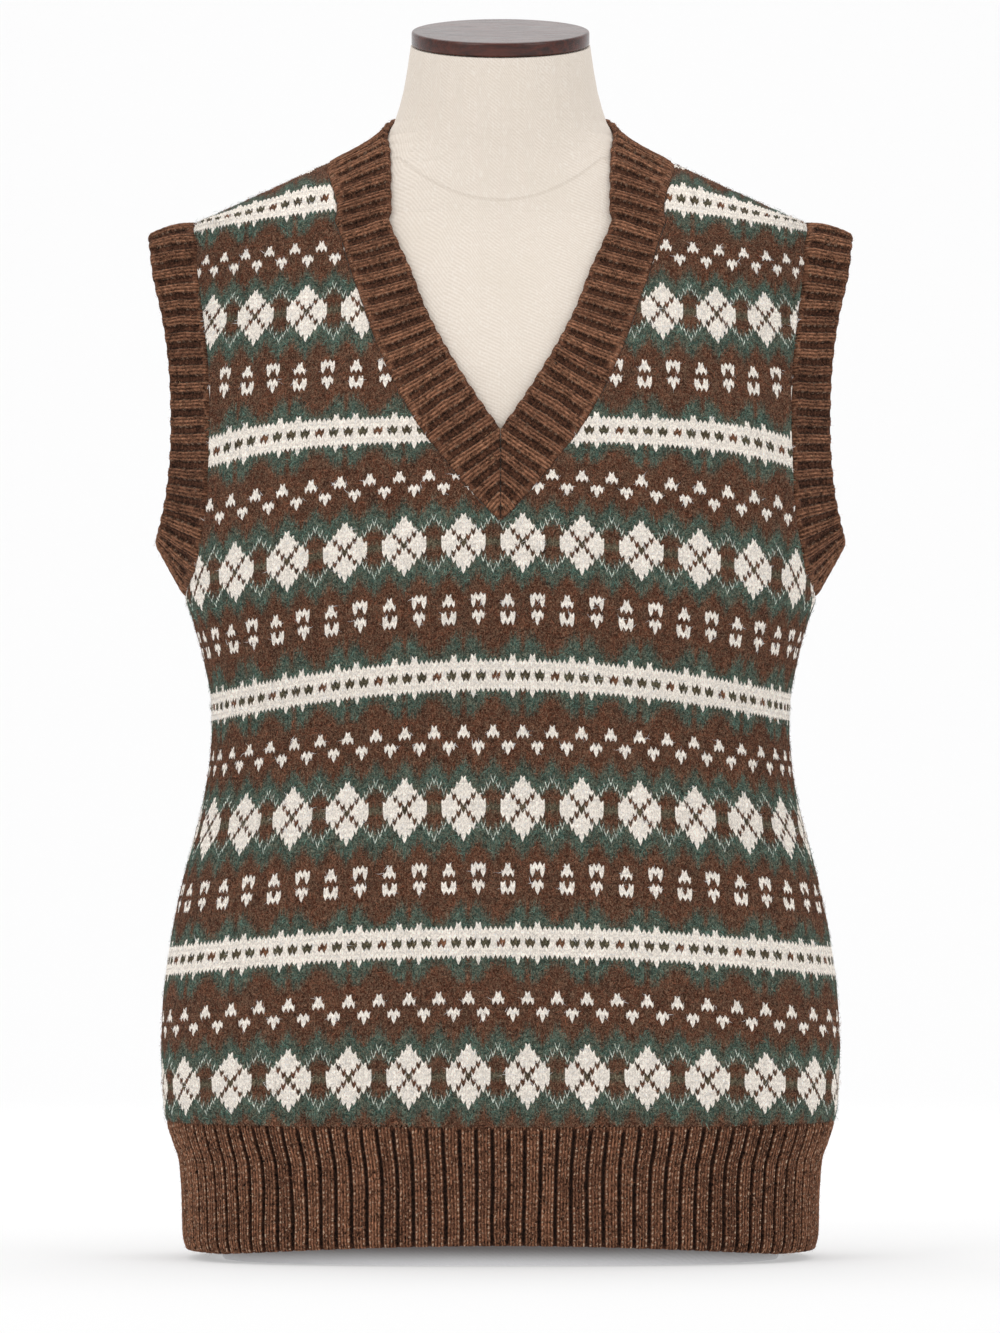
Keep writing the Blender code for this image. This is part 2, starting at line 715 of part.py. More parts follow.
def armband_point(here, share, out):
    """Point of the left armband at a place round it, a share of its width and a distance out."""
    def spread(place, across):
        free_edge = Vector(along(ARM_ROWS, place, closed=True)[2:5])
        return skin(*armhole(place, BAND_GAP)).lerp(free_edge, across)

    round_way = spread(here + 0.05, share) - spread(here - 0.05, share)
    side_way = spread(here, 1.0) - spread(here, 0.0)
    turned = round_way.cross(side_way).normalized()
    sewn = skin_normal(*armhole(here, BAND_GAP))
    normal = sewn.lerp(turned, min(share / ARMBAND_TURN, 1.0)).normalized()
    return spread(here, share) + normal * out


def build_armband(name, way, surface):
    """Ribbed armband, sewn round the armhole and flaring out to its free edge."""
    def place(station, share, out):
        rib = int(station)
        here = ARM_PLACES[rib % ARM_RIBS]
        there = ARM_PLACES[rib + 1]
        if share == 0:
            point = armband_point(here, 0, out).lerp(armband_point(there, 0, out), station - rib)
        else:
            point = armband_point(here + (there - here) * (station - rib), share, out)
        point.x *= way
        return point

    mesh = ribbed_mesh(place, ARM_RIBS, ARM_ACROSS, ARM_INSIDE, ARM_RIB, closed=True)
    return add_object(name, mesh, surface)


def main():
    """Build the vest and the form that wears it."""
    for item in list(bpy.data.objects):
        bpy.data.objects.remove(item, do_unlink=True)
    linen = material("linen", (0.80, 0.74, 0.66), 0.9)
    wood = material("stained wood", (0.075, 0.028, 0.014), 0.25)
    knit = material("patterned knit", (0.16, 0.10, 0.07), 0.95)
    ribbing = material("brown ribbing", (0.13, 0.06, 0.035), 0.95)
    build_form(linen)
    build_cap(wood)
    build_panel("front_panel", front_net(), knit)
    build_panel("back_panel", back_net(), knit)
    build_hem("hem_rib_front", 0.0, ribbing)
    build_hem("hem_rib_back", 2.0, ribbing)
    build_neckband(ribbing)
    build_armband("armband_left", 1, ribbing)
    build_armband("armband_right", -1, ribbing)


main()
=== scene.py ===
# %% [markdown]
# # A knitted sweater vest on a dress form
#
# The vest is a V-necked slipover in stranded colourwork, with ribbing at the hem, the neck and the
# armholes. It is worn by a dress form covered in linen, with a turned wooden cap on its neck. The
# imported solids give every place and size. Here they get their wool: stitches, ribs and a halo.

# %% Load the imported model
import math

import bmesh
import bpy
import numpy as np
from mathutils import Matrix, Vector
from mathutils.kdtree import KDTree


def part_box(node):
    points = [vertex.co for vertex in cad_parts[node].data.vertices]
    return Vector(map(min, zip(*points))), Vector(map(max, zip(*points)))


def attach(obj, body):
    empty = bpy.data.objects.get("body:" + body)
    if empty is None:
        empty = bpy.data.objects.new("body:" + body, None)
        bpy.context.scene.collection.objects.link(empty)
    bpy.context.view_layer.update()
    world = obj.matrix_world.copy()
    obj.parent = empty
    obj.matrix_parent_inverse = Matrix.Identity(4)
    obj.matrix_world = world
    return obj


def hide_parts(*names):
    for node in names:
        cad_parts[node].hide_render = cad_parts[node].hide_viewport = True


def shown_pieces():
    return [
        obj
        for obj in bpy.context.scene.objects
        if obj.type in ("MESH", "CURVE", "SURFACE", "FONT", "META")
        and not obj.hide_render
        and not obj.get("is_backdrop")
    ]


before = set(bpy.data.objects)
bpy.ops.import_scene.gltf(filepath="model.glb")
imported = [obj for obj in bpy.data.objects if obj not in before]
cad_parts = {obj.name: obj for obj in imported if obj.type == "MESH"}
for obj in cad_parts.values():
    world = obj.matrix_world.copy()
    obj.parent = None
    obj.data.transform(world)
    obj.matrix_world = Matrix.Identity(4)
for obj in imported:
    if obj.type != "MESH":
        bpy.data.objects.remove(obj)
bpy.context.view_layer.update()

print("solids:", sorted(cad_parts))

# %% [markdown]
# ## The skin
#
# A worn vest is one smooth tube of cloth, so every stitch is placed on one skin, the outer face of
# the panels. The skin could be read back from the solids, but their faces are too coarse for
# stitches three millimetres wide. So it is worked out again from the same level sections, as a fine
# net. A place on it has a height and a share of the way round: 0 at the centre front, 1 at the side
# line and 2 at the centre back, negative on the wearer's right.

# %% Sizes and level sections
MM = 0.001
SEAM_GAP = 0.4 * MM
BAND_GAP = 0.6 * MM
PANEL_WALL = 2.4 * MM
HEM_BOTTOM = 5.0 * MM
HEM_TOP = 83.4 * MM
# The sections lie this far back of their table, and their points this evenly round each quarter
BACK_SHIFT = 2.5
EVENNESS = 1.25

# Height, half width, front, back, side line and squareness of each section, in millimetres
SECTIONS = np.array((
    (0, 186.5, -119, 115, 0, 2.5), (15, 190.5, -120, 116, 0, 2.5), (34, 191, -120, 116, 0, 2.5),
    (58, 192.6, -121, 117, 0, 2.5), (70, 196.5, -123, 119, 0, 2.5), (82, 200.1, -125, 121, 0, 2.5),
    (94, 201.6, -126, 122, 0, 2.5), (124, 202.8, -127, 121.5, 0, 2.5), (154, 201.6, -126, 118, 0, 2.5),
    (178, 198.9, -124, 114, 0, 2.5), (202, 195, -122, 109, 0, 2.5), (226, 189.9, -119, 103, 0, 2.5),
    (250, 183.6, -116, 98, 0, 2.5), (274, 177.6, -113, 95, 0, 2.5), (298, 173.7, -112, 93, 0, 2.5),
    (316, 172.5, -112, 93, 0, 2.5), (334, 173.1, -114, 94, 0, 2.5), (358, 177.3, -118, 97, 1, 2.5),
    (382, 183.9, -122, 101, 2, 2.5), (396, 188.6, -123.5, 103, 3, 2.5), (420, 190, -124, 106, 4, 2.5),
    (450, 190.5, -121.5, 108, 5.5, 2.5), (480, 190.5, -116, 108.5, 7.5, 2.45),
    (510, 190.5, -107.5, 107, 9.5, 2.35), (540, 190.2, -96, 104, 11.5, 2.3),
    (570, 189.5, -82.5, 99, 13, 2.25), (595, 188.3, -70, 93, 14, 2.3), (610, 186.8, -62, 88.5, 15, 2.3),
    (620, 183.5, -57, 85, 15, 2.3), (626, 171, -54.5, 83, 15, 2.2), (640, 140.5, -51.5, 78, 15, 2.1),
    (650, 118.6, -50.5, 74, 15, 2.0), (658, 101, -50, 70.5, 15, 2.0), (664, 88.5, -50.5, 68.5, 12, 2.0),
    (670, 78, -51.5, 67, 9, 2.0), (676, 70.5, -52.8, 66, 6.5, 2.0), (684, 66, -54, 65, 5, 2.0),
    (697, 61.8, -55.5, 62.5, 3, 2.0), (712, 59, -57, 59.5, 0.5, 2.0), (727, 56.8, -58.6, 55, -1.8, 2.0),
))
print(len(SECTIONS), "sections")


# %% The skin as a fine net
def ease(value):
    """Soft step from 0 to 1."""
    value = np.clip(value, 0, 1)
    return value * value * (3 - 2 * value)


def monotone(places, values, at):
    """Smooth curve through the values that never swings past them."""
    rises = np.diff(values) / np.diff(places)
    product = rises[:-1] * rises[1:]
    total = np.where(product > 0, rises[:-1] + rises[1:], 1)
    slopes = np.concatenate((rises[:1], np.where(product > 0, 2 * product / total, 0), rises[-1:]))
    at = np.clip(at, places[0], places[-1])
    k = np.clip(np.searchsorted(places, at, side="right") - 1, 0, len(places) - 2)
    span = places[k + 1] - places[k]
    t = (at - places[k]) / span
    found = (2 * t ** 3 - 3 * t ** 2 + 1) * values[k] + (3 * t ** 2 - 2 * t ** 3) * values[k + 1]
    return found + span * ((t ** 3 - 2 * t ** 2 + t) * slopes[k] + (t ** 3 - t ** 2) * slopes[k + 1])


LEVELS = np.arange(0.0, 728.0)
SHARES = np.linspace(0, 2, 801)
HALF_WAY = len(SHARES) // 2
QUARTER_STEPS = 200


def skin_net():
    """Points and outward directions of the skin at every level and share, and its quarter lengths."""
    half, front, back, side, square = (monotone(SECTIONS[:, 0], SECTIONS[:, k], LEVELS)[:, None]
                                       for k in range(1, 6))
    front, back, side = (value + BACK_SHIFT for value in (front, back, side))
    part = np.linspace(0, 1, QUARTER_STEPS + 1)
    quarter = math.pi / 2 * part ** EVENNESS / (part ** EVENNESS + (1 - part) ** EVENNESS)
    turns = np.concatenate((quarter, math.pi / 2 + quarter[1:]))
    across = np.abs(np.sin(turns))
    ahead = np.cos(turns)
    depth = np.where(ahead > 0, side - front, back - side)
    x = half * across ** (2 / square)
    y = side - np.sign(ahead) * depth * np.abs(ahead) ** (2 / square)
    run = np.hypot(np.diff(x, axis=1), np.diff(y, axis=1)).cumsum(axis=1)
    run = np.hstack((np.zeros((len(LEVELS), 1)), run))
    side_run = run[:, QUARTER_STEPS]
    quarters = np.stack((side_run, run[:, -1] - side_run), axis=1)
    net = np.zeros((len(LEVELS), len(SHARES), 3))
    for k, level in enumerate(LEVELS):
        ahead_run, back_run = quarters[k]
        wanted = np.where(SHARES <= 1, SHARES * ahead_run, ahead_run + (SHARES - 1) * back_run)
        net[k, :, 0] = np.interp(wanted, run[k], x[k])
        net[k, :, 1] = np.interp(wanted, run[k], y[k])
        net[k, :, 2] = level
    net[:, (0, -1), 0] = 0
    out = np.cross(np.gradient(net, axis=1), np.gradient(net, axis=0))
    out[:, (0, -1), 0] = 0
    out /= np.linalg.norm(out, axis=2, keepdims=True)
    return net * MM, out, quarters * MM


SKIN, SKIN_OUT, QUARTERS = skin_net()
print("skin net:", SKIN.shape[:2], "quarter lengths at the hem in mm:", (QUARTERS[80] / MM).round(1))


# %% Points on the skin
def on_net(net, share, height):
    """Values of a net at shares and heights, by straight interpolation between its points."""
    share, height = np.broadcast_arrays(share, height)
    column = np.clip(np.abs(share) * HALF_WAY, 0, len(SHARES) - 1.001)
    row = np.clip(height / MM, 0, len(LEVELS) - 1.001)
    j = column.astype(int)
    i = row.astype(int)
    s = (column - j)[..., None]
    t = (row - i)[..., None]
    low = net[i, j] * (1 - s) + net[i, j + 1] * s
    high = net[i + 1, j] * (1 - s) + net[i + 1, j + 1] * s
    return low * (1 - t) + high * t


def skin_way_out(share, height):
    """Directions straight out of the skin."""
    found = on_net(SKIN_OUT, share, height)
    found[..., 0] *= np.where(share < 0, -1, 1)
    return found / np.linalg.norm(found, axis=-1, keepdims=True)


def skin(share, height, out=0.0):
    """Points at shares of the way round and heights, moved straight out of the skin."""
    share = (np.asarray(share, float) + 2) % 4 - 2
    found = on_net(SKIN, share, height)
    found[..., 0] *= np.where(share < 0, -1, 1)
    return found + skin_way_out(share, height) * np.asarray(out)[..., None]


def share_at(face, out, height):
    """Share of the way round of the point some millimetres out, on the front (-1) or back (1)."""
    if face == 0:
        return 1.0
    across = on_net(SKIN, SHARES, height)[:, 0] / MM
    if face < 0:
        return math.copysign(np.interp(abs(out), across[:HALF_WAY + 1], SHARES[:HALF_WAY + 1]), out)
    return np.interp(-abs(out), -across[HALF_WAY:], SHARES[HALF_WAY:])


def distance_from_skin(points):
    """Distances of points from the level section of the skin at their own height."""
    rows = on_net(SKIN, SHARES[None, :], points[:, 2][:, None])
    gaps = np.hypot(rows[..., 0] - np.abs(points[:, :1]), rows[..., 1] - points[:, 1:2])
    return gaps.min(axis=1)


# Between the hem and the armholes, every third corner of the solids shows how well the skin fits
CHECKED_FROM = 90 * MM
CHECKED_TO = 420 * MM
for node in ("front_panel", "back_panel"):
    corners = np.array([vert.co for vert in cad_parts[node].data.vertices])
    corners = corners[(corners[:, 2] > CHECKED_FROM) & (corners[:, 2] < CHECKED_TO)][::3]
    gaps = distance_from_skin(corners)
    outer = gaps[gaps < PANEL_WALL / 2]
    print(node, "lies at most", round(outer.max() / MM, 3), "mm off the skin, at", len(outer), "points")

# %% [markdown]
# ## Edges of the bands
#
# The neckband and the armbands are sewn on along curves on the skin. The tables hold a few rows
# along each band, and a smooth curve through them gives the edges. The neckband lies on the skin;
# the armbands flare from it to a free edge of their own.

# %% Tables of the bands
# Face, then distance out and height of the sewn edge and of the free edge, in millimetres
NECKBAND = (
    (-1, -5, 435.7, -29, 459.0), (-1, 12, 453.5, -11.5, 481.3), (-1, 29.7, 474, 6, 503.5),
    (-1, 52.5, 505, 27, 535.5), (-1, 72.3, 545, 44, 566.5), (-1, 86.7, 585, 57.5, 600),
    (-1, 97.5, 624, 66, 636), (-1, 101.7, 647, 69.8, 661), (0, 0, 658, 0, 676),
    (1, 80, 657.5, 55, 685.5), (1, 43, 657, 30, 689.5), (1, 0, 657, 0, 691),
)
SHOULDER_ROW = 8
# Distance out and height of the sewn edge, then x, height and forward inset of the free edge
ARMBAND = (
    (0, 619.5, 212, 611, 0), (183.2, 608, 211, 604, 12), (182.3, 592, 208.8, 588, 20),
    (178.6, 564, 203, 563, 30), (175.4, 536, 199.2, 536, 37.5), (174.3, 508, 197.8, 508, 41),
    (174.4, 480, 198.1, 481, 44), (175.8, 452, 200.6, 457, 43), (179.5, 427, 204.2, 440, 37),
    (184.3, 408.5, 206.4, 432, 23), (0, 396, 207, 430, 0),
)
ARMBAND_BACK_INSET = 0.85
ARMBAND_TURN = 0.3
HEM_RIBS = 55
NECK_RIBS = 38
ARM_RIBS = 48
# How far the neckband's ribs lean, in ribs, and the ribs over which the lean grows and fades
NECK_LEAN = 1.15
LEAN_GROWS = 5
LEAN_ENDS = 24
LEAN_FADES = 10
# How far the bands stand up at the shoulder, and over how many table rows or ribs
NECK_STAND = 6.5 * MM
NECK_STAND_ROWS = 1.3
ARM_STAND = 2.6
ARM_STAND_MIDDLE = 1.6
ARM_STAND_RIBS = 2.2
DENSE = 1500


def along(rows, place, closed=False):
    """Rows of values at places counted in rows, on a smooth curve through the table's rows."""
    rows = np.asarray(rows, float)
    count = len(rows)
    if closed:
        place = np.asarray(place, float) % count
        k = np.minimum(place.astype(int), count - 1)
        before, here, there, after = (rows[(k + i) % count] for i in (-1, 0, 1, 2))
    else:
        place = np.clip(np.asarray(place, float), 0, count - 1)
        k = np.minimum(place.astype(int), count - 2)
        longer = np.vstack((2 * rows[:1] - rows[1:2], rows, 2 * rows[-1:] - rows[-2:-1]))
        before, here, there, after = (longer[k + i] for i in range(4))
    t = (place - k)[..., None]
    return 0.5 * (2 * here + (there - before) * t + (2 * before - 5 * here + 4 * there - after) * t ** 2
                  + (3 * here - before - 3 * there + after) * t ** 3)


def neckband_rows():
    """Sewn share and height, then free share and height, for each row of the neckband."""
    return np.array([(share_at(face, sewn, low * MM), low * MM,
                      share_at(face, free, high * MM), high * MM)
                     for face, sewn, low, free, high in NECKBAND])


def armband_rows():
    """Sewn share and height, then the free edge's point, for each row round an armhole."""
    front = []
    back = []
    for sewn, low, free, high, inset in ARMBAND:
        side = np.interp(high, LEVELS, SKIN[:, HALF_WAY, 1])
        front.append((share_at(-1, sewn, low * MM) if sewn else 1.0, low * MM,
                      free * MM, side - inset * MM, high * MM))
        back.append((share_at(1, sewn, low * MM) if sewn else 1.0, low * MM,
                     free * MM, side + inset * ARMBAND_BACK_INSET * MM, high * MM))
    return np.array(front + back[-2:0:-1])


NECK_ROWS = neckband_rows()
ARM_ROWS = armband_rows()
print("neckband rows:", len(NECK_ROWS), " armband rows:", len(ARM_ROWS))


# %% Even stations along the bands
def even_places(points, places, count):
    """Function from stations, counted in ribs, to places, even along a line of points."""
    run = np.concatenate(([0.0], np.linalg.norm(np.diff(points, axis=0), axis=1).cumsum()))
    return lambda station: np.interp(np.asarray(station) / count * run[-1], run, places)


dense = np.linspace(0, len(NECK_ROWS) - 1, DENSE)
rows = along(NECK_ROWS, dense)
neck_middle = skin((rows[:, 0] + rows[:, 2]) / 2, (rows[:, 1] + rows[:, 3]) / 2)
neck_place = even_places(neck_middle, dense, NECK_RIBS)

arm_half = len(ARMBAND) - 1
halves = []
for first in (0, arm_half):
    dense = np.linspace(first, first + arm_half, DENSE)
    rows = along(ARM_ROWS, dense, closed=True)
    middle = (skin(rows[:, 0], rows[:, 1]) + rows[:, 2:5]) / 2
    halves.append(even_places(middle, dense, ARM_RIBS // 2))


def arm_place(station):
    """Places round the armband for stations counted in ribs, from the shoulder forward."""
    station = np.asarray(station, float) % ARM_RIBS
    half = ARM_RIBS // 2
    return np.where(station <= half, halves[0](np.minimum(station, half)),
                    halves[1](np.maximum(station - half, 0)))


def neckband_point(station, share, out):
    """Points of the neckband's left half: stations in ribs, shares of the width, distances out.

    Its ribs lean, with their sewn ends up, and it stands up at the shoulder, where it turns to the
    back.
    """
    lean = (NECK_LEAN * np.clip(station / LEAN_GROWS, 0, 1)
            * np.clip((LEAN_ENDS - station) / LEAN_FADES, 0, 1))
    place = neck_place(station + lean * (0.5 - share))
    row = along(NECK_ROWS, place)
    stand = NECK_STAND * np.exp(-((place - SHOULDER_ROW) / NECK_STAND_ROWS) ** 2)
    bulge = np.sin(math.pi * np.clip(share, 0, 1)) / np.maximum(share, 0.01)
    stand = stand * (0.55 + 0.75 * bulge)
    return skin(row[..., 0] + (row[..., 2] - row[..., 0]) * share,
                row[..., 1] + (row[..., 3] - row[..., 1]) * share + stand * share, out)


def armhole_edge(place):
    """Points of the armband's sewn edge, a little inside the armhole, ways out, and free points."""
    row = along(ARM_ROWS, place, closed=True)
    ahead = along(ARM_ROWS, place + 0.02, closed=True)
    behind = along(ARM_ROWS, place - 0.02, closed=True)
    out = skin_way_out(row[..., 0], row[..., 1])
    way = skin(ahead[..., 0], ahead[..., 1]) - skin(behind[..., 0], behind[..., 1])
    inward = np.cross(out, way)
    inward /= np.linalg.norm(inward, axis=-1, keepdims=True)
    return skin(row[..., 0], row[..., 1]) + inward * BAND_GAP, out, row[..., 2:5]


def armband_point(station, share, out):
    """Points of the left armband: stations in ribs, shares of the width, distances out."""
    place = arm_place(station)

    def spread(at, across):
        sewn, _, free = armhole_edge(at)
        return sewn + (free - sewn) * across[..., None]

    share = np.broadcast_to(share, np.shape(place))
    round_way = spread(place + 0.05, share) - spread(place - 0.05, share)
    side_way = spread(place, np.ones_like(share)) - spread(place, np.zeros_like(share))
    turned = np.cross(round_way, side_way)
    turned /= np.linalg.norm(turned, axis=-1, keepdims=True)
    sewn_out = armhole_edge(place)[1]
    mix = np.clip(share / ARMBAND_TURN, 0, 1)[..., None]
    normal = sewn_out * (1 - mix) + turned * mix
    normal /= np.linalg.norm(normal, axis=-1, keepdims=True)
    station = np.asarray(station)
    near = np.minimum(station % ARM_RIBS, -station % ARM_RIBS) / ARM_STAND_RIBS
    stand = (ARM_STAND + ARM_STAND_MIDDLE * np.sin(math.pi * np.clip(share, 0, 1))) * MM
    stand = stand * np.exp(-near ** 2)
    return spread(place, share) + normal * np.asarray(out)[..., None] + stand[..., None] * (0, 0, 1)


lowest = armband_point(np.array(ARM_RIBS / 2), 1.0, 0.0)
print("armband's lowest free point in mm:", (lowest / MM).round(1))

# %% [markdown]
# ## Camera, floor and light
#
# The camera stands far off at half the height of the vest, so that level lines stay level. The
# floor and the wall behind are one pale sweep, and the light is a big soft room with three panels.

# %% Camera
CAMERA_BACK = 7.0
CAMERA_HEIGHT = 0.3545
PICTURE_TALL = 1333 * 0.6 * MM

camera_data = bpy.data.cameras.new("camera")
camera_data.sensor_width = 36.0
camera_data.lens = 36.0 * CAMERA_BACK / PICTURE_TALL
camera_data.clip_end = 60.0
camera = bpy.data.objects.new("camera", camera_data)
camera.location = (-0.3 * MM, -CAMERA_BACK, CAMERA_HEIGHT)
camera.rotation_euler = (math.pi / 2, 0, 0)
bpy.context.collection.objects.link(camera)
bpy.context.scene.camera = camera
print("lens:", round(camera_data.lens, 1), "mm")


# %% Helpers for pieces
def piece_from(name, points, faces):
    """Object of points and faces, the faces a list where they don't all have four corners."""
    mesh = bpy.data.meshes.new(name)
    faces = faces if isinstance(faces, list) else faces.tolist()
    mesh.from_pydata(np.reshape(points, (-1, 3)).tolist(), [], faces)
    piece = bpy.data.objects.new(name, mesh)
    bpy.context.collection.objects.link(piece)
    return piece


def net_faces(number):
    """Faces of a net, from the numbers of its points in rows and columns."""
    corners = (number[:-1, :-1], number[:-1, 1:], number[1:, 1:], number[1:, :-1])
    return np.stack(corners, axis=-1).reshape(-1, 4)


def take_up(piece):
    """Makes the piece the only selected and the active one."""
    bpy.ops.object.select_all(action="DESELECT")
    piece.select_set(True)
    bpy.context.view_layer.objects.active = piece


def add_other_half(piece):
    """Mirrors a piece on the middle plane and joins the halves."""
    take_up(piece)
    other = piece.modifiers.new("other half", "MIRROR")
    other.merge_threshold = 0.02 * MM
    bpy.ops.object.modifier_apply(modifier=other.name)


def triangles(piece):
    """Number of triangles in a piece's mesh."""
    piece.data.calc_loop_triangles()
    return len(piece.data.loop_triangles)


def close_up(piece):
    """Turns the faces of a closed piece outwards and shades them smooth."""
    mesh = bmesh.new()
    mesh.from_mesh(piece.data)
    bmesh.ops.recalc_face_normals(mesh, faces=mesh.faces[:])
    mesh.to_mesh(piece.data)
    mesh.free()
    piece.data.shade_smooth()
    print(piece.name, "has", triangles(piece), "triangles")


def paint(piece, name, colours, domain="POINT"):
    """Stores a colour for every point or face corner of a piece."""
    layer = piece.data.color_attributes.new(name, "FLOAT_COLOR", domain)
    colours = np.asarray(colours, np.float32)
    full = np.ones((len(colours), 4), np.float32)
    full[:, :3] = colours
    layer.data.foreach_set("color", full.ravel())


def unwrap(piece, places):
    """Stores where each face corner of a piece lies among the stitches."""
    layer = piece.data.uv_layers.new(name="stitches")
    layer.data.foreach_set("uv", places.astype(np.float32).ravel())


def linear(red, green, blue):
    """Linear colour of an ordinary one in steps of 255."""
    found = np.array((red, green, blue)) / 255
    return np.where(found > 0.04045, ((found + 0.055) / 1.055) ** 2.4, found / 12.92)


# %% Sweep and lights
# From front to back: the flat floor, a round corner and the wall
corner = [(2.6 + 1.6 * math.sin(turn), 1.6 - 1.6 * math.cos(turn))
          for turn in np.linspace(0.1, math.pi / 2, 12)]
profile = [(-9.0, 0.0), (2.6, 0.0), *corner, (4.2, 7.0)]
sweep = piece_from("sweep", [(x, *spot) for x in (-9.0, 9.0) for spot in profile],
                   net_faces(np.arange(2 * len(profile)).reshape(2, -1)))
sweep.data.shade_smooth()
sweep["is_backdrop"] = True

world = bpy.data.worlds.new("soft room")
world.use_nodes = True
background = world.node_tree.nodes["Background"]
background.inputs["Color"].default_value = (1.0, 1.0, 1.0, 1.0)
background.inputs["Strength"].default_value = 0.75
bpy.context.scene.world = world
bpy.context.scene.view_settings.view_transform = "Standard"


def light_panel(name, place, size, power, aim):
    """Square light panel that faces a point."""
    data = bpy.data.lights.new(name, "AREA")
    data.size = size
    data.energy = power
    panel = bpy.data.objects.new(name, data)
    panel.location = place
    panel.rotation_euler = (Vector(aim) - Vector(place)).to_track_quat("-Z", "Y").to_euler()
    bpy.context.collection.objects.link(panel)


light_panel("wall light", (0, 1.2, 3.2), 3.0, 30, (0, 4.2, 1.2))
light_panel("left panel", (-2.2, -2.6, 1.9), 1.8, 26, (0, 0, 0.4))
light_panel("right panel", (2.4, -2.4, 1.6), 1.8, 17, (0, 0, 0.4))
light_panel("top panel", (0, 0.3, 2.9), 2.2, 22, (0, 0, 0.3))
print("lights:", [item.name for item in bpy.data.lights])

# %% [markdown]
# ## Finishes as sums
#
# A finish is a net of nodes. Written as sums on the nodes' outputs, it reads like the rule that it
# is: `1 - groove * 0.4` adds its own nodes. One more call adds any other node.


# %% Nodes written as sums
class Value:
    """One output of a node, which takes part in sums as a number does."""

    def __init__(self, finish, socket):
        self.finish = finish
        self.socket = socket

    def math(self, operation, *others):
        """The value put through an operation, with any other values that it takes."""
        return self.finish.math(operation, self, *others)

    def __add__(self, other):
        return self.math("ADD", other)

    def __sub__(self, other):
        return self.math("SUBTRACT", other)

    def __rsub__(self, other):
        return self.finish.math("SUBTRACT", other, self)

    def __mul__(self, other):
        return self.math("MULTIPLY", other)

    def __truediv__(self, other):
        return self.math("DIVIDE", other)


class Finish:
    """A material on one Principled shader."""

    def __init__(self, name, roughness=0.5, **constants):
        self.material = bpy.data.materials.new(name)
        self.material.use_nodes = True
        self.tree = self.material.node_tree
        self.shader = self.tree.nodes["Principled BSDF"]
        self.shader.inputs["Roughness"].default_value = roughness
        for socket, value in constants.items():
            self.shader.inputs[socket.replace("_", " ")].default_value = value

    def node(self, kind, settings=None, inputs=None, output=0):
        """Adds a node: its settings first, then the values or links of its sockets."""
        made = self.tree.nodes.new(kind)
        for key, value in (settings or {}).items():
            setattr(made, key, value)
        for key, value in (inputs or {}).items():
            self.join(value, made.inputs[key])
        return Value(self, made.outputs[output])

    def math(self, operation, *inputs):
        """An operation on values and numbers."""
        return self.node("ShaderNodeMath", {"operation": operation}, dict(enumerate(inputs)))

    def join(self, value, socket):
        """Gives a socket a link, a number or a colour."""
        if isinstance(value, Value):
            self.tree.links.new(value.socket, socket)
        elif hasattr(value, "__len__") and socket.type == "RGBA":
            socket.default_value = (*value[:3], 1.0)
        else:
            socket.default_value = value

    def mix(self, share, first, second):
        """Mix of two colours."""
        return self.node("ShaderNodeMix", {"data_type": "RGBA"}, {0: share, 6: first, 7: second}, 2)

    def noise(self, place, scale, detail=2.0, rough=0.5, twist=0.0):
        """Smooth noise from 0 to 1."""
        return self.node("ShaderNodeTexNoise", {}, {"Vector": place, "Scale": scale, "Detail": detail,
                                                    "Roughness": rough, "Distortion": twist})

    def spread(self, value, low, high):
        """Value brought from low..high to 0..1, with soft ends."""
        return self.node("ShaderNodeMapRange", {"interpolation_type": "SMOOTHSTEP"},
                         {"Value": value, "From Min": low, "From Max": high})

    def stretched(self, place, scale):
        """Place stretched along its axes."""
        return self.node("ShaderNodeVectorMath", {"operation": "MULTIPLY"}, {0: place, 1: scale})

    def parts(self, place):
        """The three numbers of a place."""
        made = self.node("ShaderNodeSeparateXYZ", {}, {0: place}).socket.node
        return [Value(self, socket) for socket in made.outputs]

    def place(self):
        """Place in the piece's own frame, in metres."""
        return self.node("ShaderNodeTexCoord", {}, {}, 3)

    def painted(self, name):
        """Colour painted on the piece under a name."""
        return self.node("ShaderNodeAttribute", {"attribute_name": name})

    def shaded(self, tone, shade):
        """Colour scaled by a shade around 1."""
        return self.node("ShaderNodeVectorMath", {"operation": "SCALE"}, {0: tone, "Scale": shade})

    def relief(self, height, distance):
        """Raises the surface by a height from 0 to 1, times a distance in metres."""
        bump = self.node("ShaderNodeBump", {}, {"Distance": distance, "Height": height})
        self.join(bump, self.shader.inputs["Normal"])

    def colour(self, value):
        """Sets the base colour."""
        self.join(value, self.shader.inputs["Base Color"])


pale = Finish("pale sweep", roughness=0.9, Specular_IOR_Level=0.0, Emission_Strength=0.39,
              Emission_Color=(1.0, 1.0, 1.0, 1.0))
uneven = pale.noise(pale.place(), 1.5) * 0.3
pale.colour(pale.mix(uneven, linear(194, 194, 194), linear(192, 192, 193)))
sweep.data.materials.append(pale.material)
print("finishes start with:", pale.material.name)
